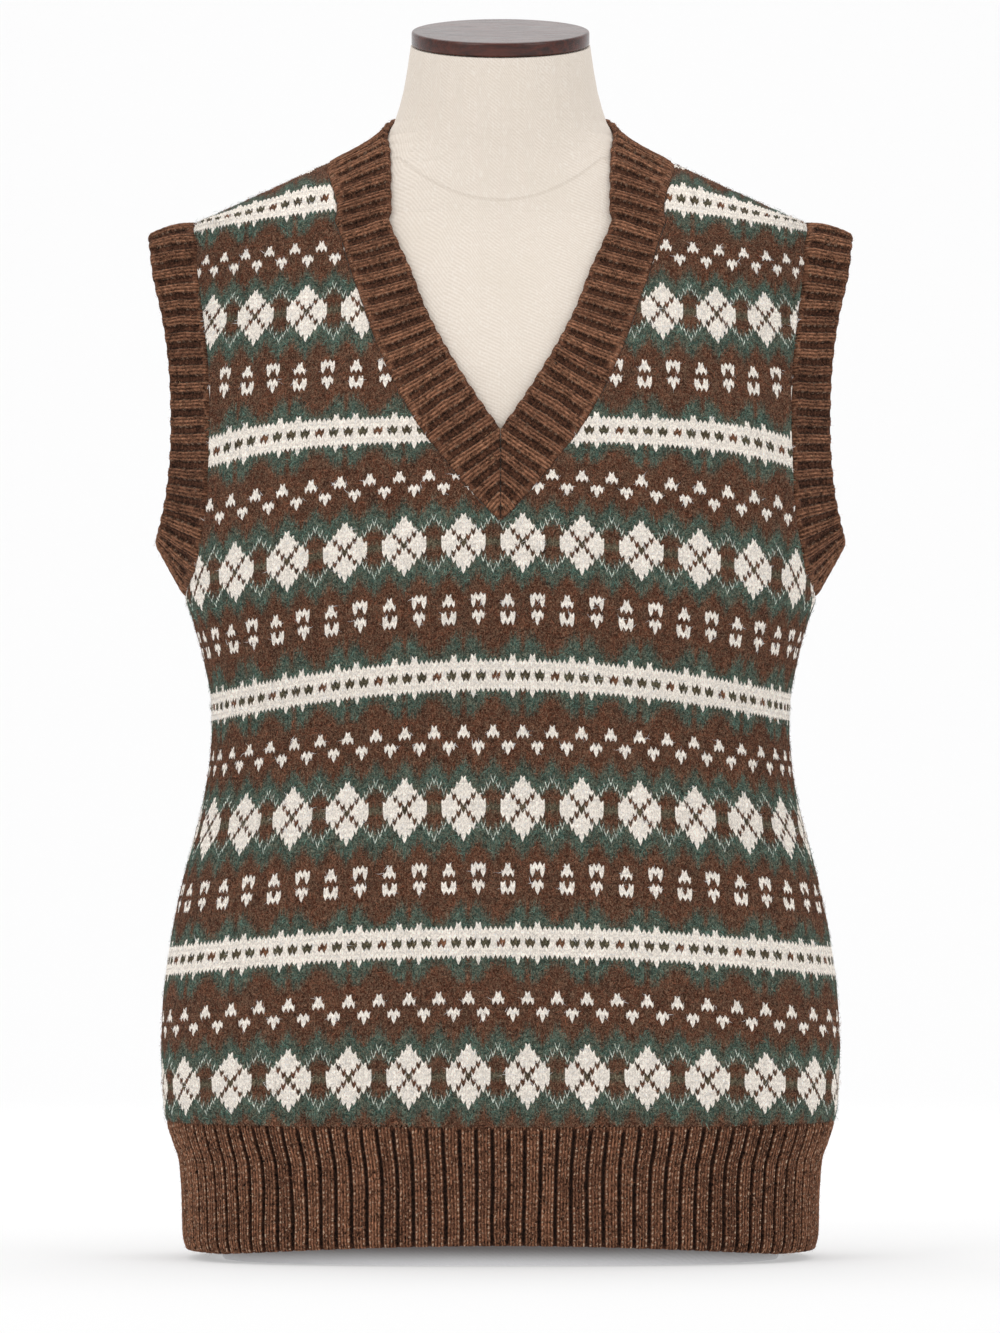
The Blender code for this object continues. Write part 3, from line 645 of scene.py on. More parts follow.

# %% [markdown]
# ## The dress form
#
# The form is covered in plain linen, seamed down the centre and round the base of the neck. Its
# solid has the right shape, so it stays and only gets its cloth: a fine twill that runs round the
# form, with slubs, the two seams as shallow grooves, and a painted shadow round its foot.

# %% Linen
THREAD = 0.0011
BASE_SEAM_HEIGHT = 0.632
linen = Finish("linen", roughness=0.9, Sheen_Weight=0.05)
place = linen.place()
x, y, z = linen.parts(place)
round_way = x.math("ARCTAN2", 0.0 - y) * 0.06
warp = round_way * (2 * math.pi / THREAD)
weft = z * (2 * math.pi / THREAD)
zigzag = (round_way / 0.009).math("PINGPONG", 1.0)
twill = (warp * 0.5 + weft * 0.5 + zigzag * 9.0).math("SINE") * 0.5 + 0.5
plain_weave = warp.math("SINE") * 0.25 + weft.math("SINE") * 0.25 + 0.5
slub = linen.noise(linen.stretched(place, (900.0, 900.0, 160.0)), 1.0, 2.0, 0.6)
slub_across = linen.noise(linen.stretched(place, (140.0, 140.0, 1400.0)), 1.0, 2.0, 0.6)
blotch = linen.noise(place, 22.0, 3.0)
seam_height = (x * x).math("MINIMUM", 0.0036) * 6.5 + BASE_SEAM_HEIGHT + (y + 0.05) * 0.12
base_seam = 1 - linen.spread((z - seam_height).math("ABSOLUTE"), 0.0004, 0.0014)
middle_seam = 1 - linen.spread(x.math("ABSOLUTE"), 0.0003, 0.0011)
middle_seam = middle_seam * linen.spread(0.0 - y, -0.001, 0.001)
seams = base_seam.math("MAXIMUM", middle_seam * 0.12)
cloth = linen.mix(twill * 0.55, linear(231, 220, 208), linear(208, 196, 182))
for share, tone in ((linen.spread(slub, 0.5, 0.72) * 0.5, linear(238, 231, 221)),
                    (linen.spread(slub_across, 0.5, 0.7) * 0.3, linear(212, 201, 186)),
                    (linen.spread(blotch, 0.4, 0.75) * 0.25, linear(219, 208, 193)),
                    (seams * 0.16, linear(170, 154, 136))):
    cloth = linen.mix(share, cloth, tone)
# Painted shadow round the foot, under the hem: near white at the floor, grey by 11 mm, gone by 22 mm
painted_foot_shadow = linen.mix(linen.spread(z, 0.0, 0.011), linear(246, 247, 250), linear(112, 110, 112))
linen.colour(linen.mix((1 - linen.spread(z, 0.013, 0.022)) * 0.9, cloth, painted_foot_shadow))
linen.relief(twill * 0.35 + plain_weave * 0.3 + slub * 0.3 + slub_across * 0.3 - seams * 0.9, 0.00022)
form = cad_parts["dress_form"]
form.data.materials.clear()
form.data.materials.append(linen.material)
print("linen nodes:", len(linen.tree.nodes))

# %% [markdown]
# ## The neck cap
#
# The cap is a turned disc of stained and polished wood. A disc is best made as on a lathe: a
# cylinder, its rims bevelled to a small round, seated on the tilted top of the neck.

# %% Turn the cap
CAP_RADIUS = 53.4 * MM
CAP_THICKNESS = 8.6 * MM
CAP_TILT = math.radians(11.0)
CAP_ROUND = 1.5 * MM


def choose(piece, is_chosen, kind):
    """Selects only the edges or faces of a piece in edit mode that pass a test."""
    bpy.ops.mesh.select_all(action="DESELECT")
    shape = bmesh.from_edit_mesh(piece.data)
    for item in getattr(shape, kind):
        item.select = is_chosen(item)
    shape.select_flush_mode()
    bmesh.update_edit_mesh(piece.data)


cap_low, cap_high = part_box("neck_cap")
bpy.ops.mesh.primitive_cylinder_add(vertices=96, radius=CAP_RADIUS, depth=CAP_THICKNESS,
                                    location=(cap_low + cap_high) / 2, rotation=(CAP_TILT, 0, 0))
cap = bpy.context.object
cap.name = "turned_cap"
bpy.ops.object.mode_set(mode="EDIT")
choose(cap, lambda edge: abs(edge.verts[0].co.z - edge.verts[1].co.z) < 0.01 * MM, "edges")
bpy.ops.mesh.bevel(offset=CAP_ROUND, segments=4, profile=0.5)
choose(cap, lambda face: abs(face.normal.z) > 0.99 and face.calc_area() > 0.001, "faces")
bpy.ops.mesh.inset(thickness=0.4 * MM, depth=0.0)
bpy.ops.mesh.inset(thickness=20 * MM, depth=0.0)
bpy.ops.object.mode_set(mode="OBJECT")
take_up(cap)
bpy.ops.object.transform_apply(location=True, rotation=True, scale=True)
bpy.ops.object.shade_smooth_by_angle(angle=math.radians(30))
print("cap:", triangles(cap), "triangles")

# %% Stained wood
wood = Finish("stained wood", roughness=0.4, Specular_IOR_Level=0.3, Coat_Weight=0.3,
              Coat_Roughness=0.15)
place = wood.place()
bend = wood.noise(place, 9.0, 2.0)
lines = wood.noise(wood.stretched(place, (18.0, 160.0, 160.0)), 1.6, 4.0, 0.6, 0.6)
pores = wood.noise(wood.stretched(place, (60.0, 900.0, 900.0)), 1.0, 2.0, 0.6)
stain = wood.mix(wood.spread(lines, 0.35, 0.7), linear(78, 34, 23), linear(42, 17, 12))
stain = wood.mix(wood.spread(pores, 0.55, 0.75) * 0.5, stain, linear(30, 13, 10))
wood.colour(wood.mix(wood.spread(bend, 0.4, 0.8) * 0.3, stain, linear(104, 56, 40)))
wood.join(wood.spread(pores, 0.3, 0.8) * 0.18 + 0.22, wood.shader.inputs["Roughness"])
wood.relief(pores * 0.6 + lines * 0.4, 0.00006)
cap.data.materials.clear()
cap.data.materials.append(wood.material)
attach(cap, "root")
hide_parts("neck_cap")
print("wood nodes:", len(wood.tree.nodes))

# %% [markdown]
# ## The pattern
#
# The colourwork is a traditional one, worked in two colours a row: a band of crosses in rings, a
# band of little bird's feet, a dotted stripe and a band of small crosses, over and over. It is
# charted as a knitter would, a letter for a stitch. K is brown, G green, W white, o olive, b beige,
# d dark green and e grey green; v is a green stitch with a thin white strand in it. Every band
# repeats after 12 stitches, and all after 46 rows.

# %% Chart of one repeat, from column -6 to column 5, by row
REPEAT = 12
ROUNDS = 46
RING_ROWS = {
    8: "GKKKKKGKKKKK", 7: "GGKKKGGGKKKG", 6: "GGGKGGGGGKGG", 5: "vGGGGGWGGGGG", 4: "GvGGGWWWGGGv",
    3: "KKvGWWWWWGvK", 2: "KKKWKWWWKWKK", 1: "KKWWWKWKWWWK", 0: "eeWWWWoWWWWe",
}
FOOT_ROWS = {
    14: "WKKKKKWKKKKK", 13: "WWKKKWWWKKKW", 12: "KKKKKKKKKKKK", 11: "KKWWWKKKWWWK", 10: "KKKWKKKKKWKK",
}
STRIPE_ROWS = {
    29: "KKKKGGKGGKKK", 28: "KKKGGGKGGGKK", 27: "KKGGGGGGGGGK", 26: "GGGGWGGGWGGG",
    25: "W" * REPEAT, 24: "W" * REPEAT, 23: "KbWddWooWddW", 22: "W" * REPEAT, 21: "W" * REPEAT,
    20: "GGGGWGKGWGGG", 19: "KKGGGGGGGGGK", 18: "KKKGGGKGGGKK", 17: "KKKKGGKGGKKK",
}
CROSS_ROWS = {
    36: "KKKWKKKKWWWK", 35: "KKWWWKKKWKWK", 34: "KKKKKKKKKKKK", 33: "KKWKWKKKWWWK", 32: "KKWWWKKKKWKK",
}
LOWER_RING_ROWS = {-row: line for row, line in RING_ROWS.items()}
chart = ["K" * REPEAT] * ROUNDS
for table in (FOOT_ROWS, STRIPE_ROWS, CROSS_ROWS, RING_ROWS, LOWER_RING_ROWS):
    for row, line in table.items():
        chart[row % ROUNDS] = line
CHART = np.array([list(line) for line in chart])
WHITE = linear(248, 239, 228)
YARNS = {
    "K": linear(86, 52, 37), "G": linear(64, 86, 77), "W": WHITE, "o": linear(70, 63, 48),
    "b": linear(104, 68, 48), "d": linear(70, 68, 53), "e": linear(80, 76, 62), "v": linear(66, 90, 81),
}
STRANDED = "v"
BEADS = ("o", "b", "d")
CRISP = ("o", "b", "d", "e")
for line in chart[::-1]:
    print((line * 2).replace("K", "."))

# %% [markdown]
# ## Where the stitches lie
#
# The front has 168 stitches across and the back, worked a little looser, 152. Their columns run up
# the vest and spread or close with its girth, and the rows droop towards the sides, as a worn
# vest's do. For each column a path is followed up the skin, and the rows are counted along it.

# %% Rows and columns
STITCH = 2.907
STITCHES_ASIDE = {-1: 84, 1: 76}
REPEATS_ASIDE = STITCHES_ASIDE[-1] / REPEAT
FIRST_ROW = -10
LAST_ROW = 176
V_SLANT = 0.76
# Levels between which columns are followed, and where they start to close over the shoulder
PATH_START = 70
PATH_END = 659
SHOULDER_START = 600
# Tallest row that a worn knit stretches to and the usual row of the upper back, in millimetres
TALLEST_ROW = 4.6
BACK_ROW = 3.46
BACK_ROWS_FROM = 430
# Row, its height at the centre line as seen from the camera, and its droop at DROOP_AT, in mm: the
# part of the droop that grows evenly, and the part that comes on towards the side
DROOP_AT = 171
ROW_TABLE = np.array((
    (-12, 64, 1.5, 0), (-8.6, 78.2, 2.4, 0), (0, 109, 4.8, 0), (12, 151, 8.2, 0),
    (23, 189, 8.2, 0), (34, 227.6, 10, 0), (46, 270.2, 12, 0), (58, 311, 14.4, 0),
    (69, 349.4, 19.5, 0), (80, 389.7, 20.5, 0), (92, 429.6, 21.5, 0), (104, 466.2, 18.6, 0),
    (115, 496.8, 3.6, 9.6), (126, 532, 6.6, 0), (138, 572, 10.2, 0), (150, 607, 11.4, 0),
    (161, 641.8, 17.4, 0), (180, 704, 18, 0),
))
# First row of each set of bands and how many stitches it is shifted aside, on the wearer's right of
# the front and elsewhere: every band is centred on its own when the stitches are counted out, and
# again on each side of the neck, so the bands do not all line up
SHIFTS = np.array((
    (-12, 1, 1), (30, 0, 0), (101, -1, 0), (109, 0, 1), (122, 5, 4), (130, 3, 5), (147, 0, 0),
))


def row_as_seen(points, face):
    """Row number of points, from how high they look to the camera in front or behind."""
    depth = points[..., 1] * -face
    nearer = CAMERA_BACK / (CAMERA_BACK + depth)
    height = (CAMERA_HEIGHT + (points[..., 2] - CAMERA_HEIGHT) * nearer) / MM
    out = points[..., 0] * nearer / MM / DROOP_AT
    row = np.interp(height, ROW_TABLE[:, 1], ROW_TABLE[:, 0])
    for _ in range(3):
        even, late = (np.interp(row, ROW_TABLE[:, 0], ROW_TABLE[:, k]) for k in (2, 3))
        droop = even * out ** 2 + late * out ** 6
        row = monotone(ROW_TABLE[:, 1], ROW_TABLE[:, 0], height + droop)
    return row


def column_shares(face, columns):
    """Shares of columns of stitches at every level: they spread and close with the vest's girth."""
    quarter = QUARTERS[:, 0 if face < 0 else 1][:, None] / MM
    repeats = np.abs(columns) / REPEAT * (STITCHES_ASIDE[-1] / STITCHES_ASIDE[face])
    spare = quarter - REPEATS_ASIDE * STITCH * REPEAT
    share = (STITCH * REPEAT * repeats + spare * (repeats / REPEATS_ASIDE) ** 3) / quarter
    share = np.minimum(share, 1 - 0.15 / quarter)
    return share if face < 0 else 2 - share


def column_path(face, levels, shares, x):
    """Heights and shares along one column, up to where it meets the ridge of the shoulder."""
    turn = SHOULDER_START - PATH_START
    tops = SKIN[levels, HALF_WAY, 0]
    reach = len(levels)
    if x > tops[-1]:
        reach = turn + int(np.searchsorted(-tops[turn:], -x))
    heights = levels[:reach].astype(float)
    shares = shares[:reach]
    if reach < len(levels):
        step = (tops[reach - 1] - x) / max(tops[reach - 1] - tops[reach], 1e-9)
        heights = np.append(heights, levels[reach - 1] + min(max(step, 0.01), 1))
        shares = np.append(shares, 1.0)
    return heights, shares


def rows_along(face, heights, shares):
    """Rows counted along a column: as they are seen, but none taller than a worn knit's."""
    points = skin(shares, heights * MM)
    run = np.linalg.norm(np.diff(points, axis=0), axis=1) / MM
    seen = row_as_seen(points, face)
    step = np.maximum(np.diff(seen), run / TALLEST_ROW)
    if face > 0:
        step = np.where(heights[1:] > BACK_ROWS_FROM, run / BACK_ROW, step)
    return seen[0] + np.concatenate(([0], step.cumsum()))


def stitch_net(face, columns, rows):
    """Shares and heights of a panel's net, and how far each point lies past the shoulder, in rows."""
    levels = np.arange(PATH_START, PATH_END)
    path = column_shares(face, columns)[levels]
    turn = SHOULDER_START - PATH_START
    x = np.interp(path[turn], SHARES, SKIN[SHOULDER_START, :, 0])
    half = slice(0, HALF_WAY + 1) if face < 0 else slice(None, HALF_WAY - 1, -1)
    for k in range(turn + 1, len(levels)):
        path[k] = np.interp(x, SKIN[levels[k], half, 0], SHARES[half])
    found_share, found_height, past = np.zeros((3, len(rows), len(columns)))
    for j, column in enumerate(columns):
        heights, shares = column_path(face, levels, path[:, j], x[j])
        counted = rows_along(face, heights, shares)
        wanted = rows - V_SLANT * (0.5 - abs(2 * (column % 1) - 1))
        found_height[:, j] = np.interp(wanted, counted, heights)
        found_share[:, j] = np.interp(found_height[:, j], heights, shares)
        past[:, j] = np.maximum(wanted - counted[-1], 0)
    sign = np.where(columns * -face < 0, -1, 1)
    return found_share * sign, found_height * MM, past


# %% Outline of a panel
HEM_OVERLAP = 0.8 * MM
# Levels in millimetres of the seams at the sides and on the ridge of the shoulders
SHOULDER_TOP = 658.0
SIDE_SEAM = np.arange(82.8, 396.0, 0.5)
SHOULDER_SEAM = np.arange(619.5, SHOULDER_TOP, 0.25)


def edge_lines(face):
    """Dense lines of places on the skin: the neckline and the armhole of one side of a panel."""
    neck = along(NECK_ROWS, np.linspace(0, SHOULDER_ROW, 900) if face < 0
                 else np.linspace(SHOULDER_ROW, len(NECK_ROWS) - 1, 900))[:, :2]
    arm = along(ARM_ROWS, np.linspace(0, arm_half, 1200) if face < 0
                else np.linspace(2 * arm_half, arm_half, 1200), closed=True)[:, :2]
    return neck, arm


def is_inside(face, share, height):
    """Whether places lie on the panel, within its neckline and armholes."""
    neck, arm = edge_lines(face)
    share = np.abs(share)
    arm_share = np.interp(height, arm[::-1, 1], arm[::-1, 0], left=1.0, right=1.0)
    if face < 0:
        neck_share = np.interp(height, neck[:, 1], neck[:, 0], left=-1.0)
        inside = (share > neck_share) & (share < arm_share)
    else:
        inside = (height < np.interp(share, neck[:, 0], neck[:, 1])) & (share > arm_share)
    return inside & (height > HEM_TOP - HEM_OVERLAP) & (height < SHOULDER_TOP * MM)


def outline_tree(face):
    """Search tree of points all round a panel."""
    neck, arm = edge_lines(face)
    seams = np.concatenate((SIDE_SEAM, SHOULDER_SEAM)) * MM
    side = np.stack((np.ones_like(seams), seams), axis=1)
    level = np.linspace(0, 1, 500) if face < 0 else np.linspace(1, 2, 500)
    hem = np.stack((level, np.full_like(level, HEM_TOP - HEM_OVERLAP)), axis=1)
    places = np.vstack((neck[neck[:, 0] >= 0], arm, side, hem))
    points = skin(places[:, 0], places[:, 1])
    points = np.vstack((points, points * (-1, 1, 1)))
    tree = KDTree(len(points))
    for k, point in enumerate(points):
        tree.insert(point, k)
    tree.balance()
    return tree


# %% [markdown]
# ## Stitches
#
# Plain knitting shows as columns of Vs. Each V has two legs, and each leg here is two faces that
# meet in a ridge, so light catches it as it does wool. The net of stitches lies over a plain wall
# of cloth, dips into every seam and ends under the bands.

# %% Fields over a net
dice = np.random.default_rng(11)
# Shares that a quarter of a stitch and two on each side of it give to how white it is
SOFTENING = (0.14, 0.22, 0.28, 0.22, 0.14)


def smooth_noise(shape, cells, strength):
    """Smooth random field over a net, from a coarse one."""
    down, across = (np.arange(count + 1) for count in cells)
    coarse = dice.normal(0, strength, (len(down), len(across)))
    i, j = (np.linspace(0, cells[k], shape[k]) for k in (0, 1))
    rows = np.stack([np.interp(i, down, column) for column in coarse.T], axis=1)
    return np.stack([np.interp(j, across, row) for row in rows])


def cell_mean(field):
    """Mean of the four points round each cell of a net."""
    return (field[:-1, :-1] + field[1:, :-1] + field[:-1, 1:] + field[1:, 1:]) / 4


def four_corners(field):
    """Mean of the four places that meet at each corner of every place, corner by corner."""
    mean = cell_mean(np.pad(field, ((1, 1), (1, 1), (0, 0)), mode="edge"))
    return mean[:-1, :-1], mean[:-1, 1:], mean[1:, 1:], mean[1:, :-1]


def white_share(letters):
    """How white the corners of every quarter of a stitch are, so that motifs come out round."""
    white = (letters == "W") - 0.6 * np.isin(letters, BEADS)
    around = np.pad(white, ((0, 0), (2, 2)), mode="edge")
    soft = sum(around[:, k:k + white.shape[1]] * part for k, part in enumerate(SOFTENING))
    highest = np.where(np.isin(letters, CRISP), 0.4, 1.0)
    return [np.minimum(0.8 * corner[..., 0] + 0.2 * white, highest)
            for corner in four_corners(soft[..., None])]


def without_white(letters, tone):
    """Tones with every white place filled from the wool beside it."""
    ground = tone.copy()
    empty = letters == "W"
    while empty.any():
        known = (~empty).astype(float)[..., None]
        total = np.zeros_like(ground)
        count = np.zeros_like(known)
        for down, aside in ((1, 0), (-1, 0), (0, 1), (0, -1)):
            total += np.roll(ground * known, (down, aside), (0, 1))
            count += np.roll(known, (down, aside), (0, 1))
        found = empty & (count[..., 0] > 0)
        ground[found] = (total / np.maximum(count, 1))[found]
        empty = empty & ~found
    return ground


def stitch_kind(letters):
    """For each place: 1 if a thin strand lies in it, and how far its edges feather."""
    feather = np.where(np.isin(letters, CRISP), 0.0, 0.95)
    return np.stack((letters == STRANDED, feather), axis=2).astype(float)


stitch_count = {letter: int((CHART == letter).sum()) for letter in YARNS}
print("stitches of each yarn in one repeat:", stitch_count)

# %% Knit a panel's stitches
# Height of a stitch's quarters over the skin, in millimetres
STITCH_RELIEF = np.array((0.0, 0.6, 0.12, 0.6))
# The stitches are drawn onto the outline within EDGE of it and dip into it over DIP, in millimetres
EDGE = 0.3
DIP = 1.9
# Faces are kept this far past the outline, in millimetres, and past the shoulder, in rows
PAST_OUTLINE = 0.7
PAST_SHOULDER = 0.4


def stitch_points(face, share, height):
    """Points of the net of stitches, the way out there and the distance from the outline."""
    base = skin(share, height)
    tree = outline_tree(face)
    near = np.zeros_like(base)
    gap = np.zeros(share.shape)
    for index in np.ndindex(share.shape):
        near[index], _, gap[index] = tree.find(base[index])
    gap = np.where(is_inside(face, share, height), gap, -gap) / MM
    out = STITCH_RELIEF[np.arange(share.shape[1]) % 4] + dice.normal(0, 0.06, share.shape)
    out += smooth_noise(share.shape, (60, 70), 0.12)
    at_hem = np.clip((90 * MM - height) / (5 * MM), 0, 1)
    blend = ease((gap - EDGE) / DIP)
    out = (out + 0.1 - 0.2 * at_hem) * blend - (1.6 - 1.7 * at_hem) * (1 - blend)
    way = skin_way_out(share, height)
    points = np.where((gap < EDGE)[..., None], near, base) + way * (out * MM)[..., None]
    sideways = np.cross(way, (0.0, 0.0, 1.0))
    points += sideways * (dice.normal(0, 0.07, share.shape) * MM * (gap > EDGE))[..., None]
    points[..., 2] += dice.normal(0, 0.12, share.shape) * MM * (gap > EDGE)
    return points, way, gap


def stitch_letters(face):
    """Letters of the chart for every quarter of a stitch, row by row."""
    aside = STITCHES_ASIDE[face]
    row = np.arange(FIRST_ROW, LAST_ROW)[:, None]
    stitch = np.arange(-aside, aside).repeat(4)[None, :]
    band = np.searchsorted(SHIFTS[:, 0], row, side="right") - 1
    shift = SHIFTS[band, np.where((stitch < 0) & (face < 0), 1, 2)]
    letters = CHART[row % ROUNDS, (stitch + 2 - shift) % REPEAT]
    letters[:2] = "K"
    return letters


def stitch_tones(letters):
    """Tone of every quarter of a stitch: its yarn's, a little lighter or darker in each stitch."""
    tone = np.zeros((*letters.shape, 3))
    for letter, colour in YARNS.items():
        tone[letters == letter] = colour
    light = dice.normal(1, 0.1, (len(tone), tone.shape[1] // 4, 1)).repeat(4, axis=1)
    return tone * light.clip(0.75, 1.3)


def knit_panel(name, face):
    """Sheet of coloured stitches of the front (-1) or back (1) panel, and roots for its fibres."""
    aside = STITCHES_ASIDE[face]
    columns = np.arange(-4 * aside, 4 * aside + 1) / 4
    share, height, past = stitch_net(face, columns, np.arange(FIRST_ROW, LAST_ROW + 1) - 0.5)
    points, way, gap = stitch_points(face, share, height)
    keep = (cell_mean(gap) > -PAST_OUTLINE) & (cell_mean(past) < PAST_SHOULDER)
    quads = net_faces(np.arange(share.size).reshape(share.shape))[keep.ravel()]
    used, faces = np.unique(quads, return_inverse=True)
    piece = piece_from(name, points.reshape(-1, 3)[used], faces.reshape(-1, 4))
    letters = stitch_letters(face)
    tone = stitch_tones(letters)
    ground = without_white(letters, tone)
    own = ground[keep]
    across = np.stack([corner[keep] for corner in four_corners(ground)], axis=1)
    across = (2 * across - own[:, None]).clip(0.004, 0.86)
    white = np.stack([corner[keep] for corner in white_share(letters)], axis=1)
    kind = stitch_kind(letters)[keep].repeat(4, axis=0)
    paint(piece, "yarn", own.repeat(4, axis=0), "CORNER")
    paint(piece, "across", across.reshape(-1, 3), "CORNER")
    paint(piece, "kind", np.hstack((kind, white.reshape(-1, 1))), "CORNER")
    unwrap(piece, np.stack((columns[quads % len(columns)] + aside, quads // len(columns)), axis=2))
    piece.data.shade_smooth()
    print(name, "has", len(quads) // 4, "stitches and", 2 * len(quads), "triangles")
    centre = points.reshape(-1, 3)[quads].mean(axis=1)
    return piece, {"point": centre, "way": way[:-1, :-1][keep], "colour": tone[keep]}


front_knit, front_roots = knit_panel("front_stitches", -1)
back_knit, back_roots = knit_panel("back_stitches", 1)

# %% [markdown]
# ## The wall of cloth under the stitches
#
# The panels are closed walls, so that they show a plain inside at the neck and the armholes. They
# follow the same skin, a little below the stitches, and end along the same outlines.


# %% Walls of the panels
# How far the outside and inside of the walls lie out of the skin
WALL_OUT = (-0.9 * MM, -2.4 * MM)
WALL_TOPS = {-1: 657.4, 1: 656.3}
WALL_COLUMNS = 28
NECK_BOTTOM = 440 * MM


def panel_wall(name, face):
    """Closed wall of a panel: one half as level rows between its edges, mirrored on the middle."""
    neck, arm = edge_lines(face)
    top = WALL_TOPS[face]
    levels = np.concatenate((np.arange(84.6, 392.0, 7.0), np.arange(392.0, top, 3.5), [top])) * MM
    arm_share = np.interp(levels, arm[::-1, 1], arm[::-1, 0], left=1.0, right=1.0)
    arm_share = arm_share + 0.0016 * face
    if face < 0:
        middle = np.clip(np.interp(levels, neck[:, 1], neck[:, 0], left=-1.0) + 0.003, 0, 1)
        middle = np.where(levels < NECK_BOTTOM, 0, middle)
        middle = np.minimum(middle, arm_share - 0.001)
    else:
        middle = np.full_like(levels, 2.0)
    t = np.linspace(0, 1, WALL_COLUMNS + 1)
    share = middle[:, None] + (arm_share - middle)[:, None] * t
    height = np.broadcast_to(levels[:, None], share.shape)
    points = np.concatenate([skin(share, height, np.full(share.shape, out)).reshape(-1, 3)
                             for out in WALL_OUT])
    number = np.arange(2 * share.size).reshape(2, *share.shape)
    faces = [net_faces(number[0]), net_faces(number[1])]
    for line in (number[:, 0], number[:, -1], number[:, :, -1], number[:, :, 0]):
        rim = net_faces(line)
        on_middle = (np.abs(points[rim][..., 0]) < 0.01 * MM).all(axis=1)
        faces.append(rim[~on_middle])
    piece = piece_from(name, points, np.vstack(faces))
    add_other_half(piece)
    close_up(piece)
    return piece


front_wall = panel_wall("front_cloth", -1)
back_wall = panel_wall("back_cloth", 1)

# %% [markdown]
# ## Ribbing
#
# In ribbing, columns of raised stitches stand beside sunken ones. Each raised rib here has four
# strands, the legs of two stitches, and the furrow between shows the rungs of the sunk stitches.
# One wall is modelled for all the bands: rows of points across, rounded at both edges, closed by a
# plain inside.

# %% A ribbed wall
# Phase of a rib's points, their height over the skin in mm, how light the wool is painted and what
# it is: 0 furrow, 1 flank, 2 ridge of a strand, 3 dip between strands. The lightness follows the
# height: painted shade in the furrows and dips, painted highlight on the ridges
HEM_PROFILE = np.array((
    (0.0, -2.4, 0.0, 0), (0.06, -2.0, 0.0, 0), (0.115, -0.9, 0.3, 1), (0.18, 0.0, 0.95, 2),
    (0.245, -0.1, 0.6, 1), (0.295, -0.4, 0.2, 3), (0.345, 0.0, 0.6, 1), (0.395, 0.25, 0.95, 2),
    (0.447, 0.0, 0.55, 1), (0.5, -0.35, 0.15, 3), (0.553, 0.0, 0.55, 1), (0.605, 0.25, 0.95, 2),
    (0.655, 0.0, 0.6, 1), (0.705, -0.4, 0.2, 3), (0.755, -0.1, 0.6, 1), (0.81, 0.0, 0.95, 2),
    (0.885, -0.9, 0.3, 1), (0.94, -2.0, 0.0, 0),
))
BAND_PROFILE = np.array((
    (0.0, -0.9, 0.34, 0), (0.09, -0.85, 0.26, 0), (0.17, -0.6, 0.0, 0), (0.235, 0.2, 0.3, 1),
    (0.285, 1.15, 0.95, 2), (0.345, 1.15, 0.6, 1), (0.4, 0.8, 0.2, 3), (0.45, 1.35, 0.65, 1),
    (0.5, 1.6, 1.0, 2), (0.55, 1.35, 0.65, 1), (0.6, 0.8, 0.2, 3), (0.655, 1.15, 0.6, 1),
    (0.715, 1.15, 0.95, 2), (0.765, 0.2, 0.3, 1), (0.83, -0.6, 0.0, 0), (0.91, -0.85, 0.26, 0),
))
# Dark, middle and pale tones: painted shade in the furrows, painted highlight on the ridges
HEM_TONES = (linear(44, 28, 20), linear(79, 49, 36), linear(138, 95, 71))
BAND_TONES = (linear(36, 22, 16), linear(92, 60, 45), linear(140, 98, 74))


INNER_ROWS = 4


def edge_steps(width, rows, first_round, last_round):
    """Distances across a band, in mm, close together at its rounded edges."""
    inner_count = round(1.5 * rows) if rows > 10 else 2 * rows
    inner = np.linspace(first_round, width - last_round, inner_count)
    turn = np.array((0, 0.12, 0.45))
    return np.concatenate((turn * first_round, inner, width - turn[::-1] * last_round))


def rib_stations(ribs, profile, closed):
    """Stations along a band, and the profile's height, painted lightness and kind at each."""
    stations = (np.arange(ribs)[:, None] + profile[:, 0]).ravel()
    values = np.tile(profile[:, 1:], (ribs, 1)).T
    if closed:
        return stations, values
    return np.append(stations, ribs), np.append(values, values[:, :1], axis=1)


def wall_faces(number, closed):
    """Faces of a band's wall, from its points: rows across the outside and on over the inside."""
    number = np.vstack((number, number[:1]))
    if closed:
        return net_faces(np.hstack((number, number[:, :1])))
    return net_faces(number).tolist() + [number[:-1, 0].tolist(), number[:-1, -1].tolist()]


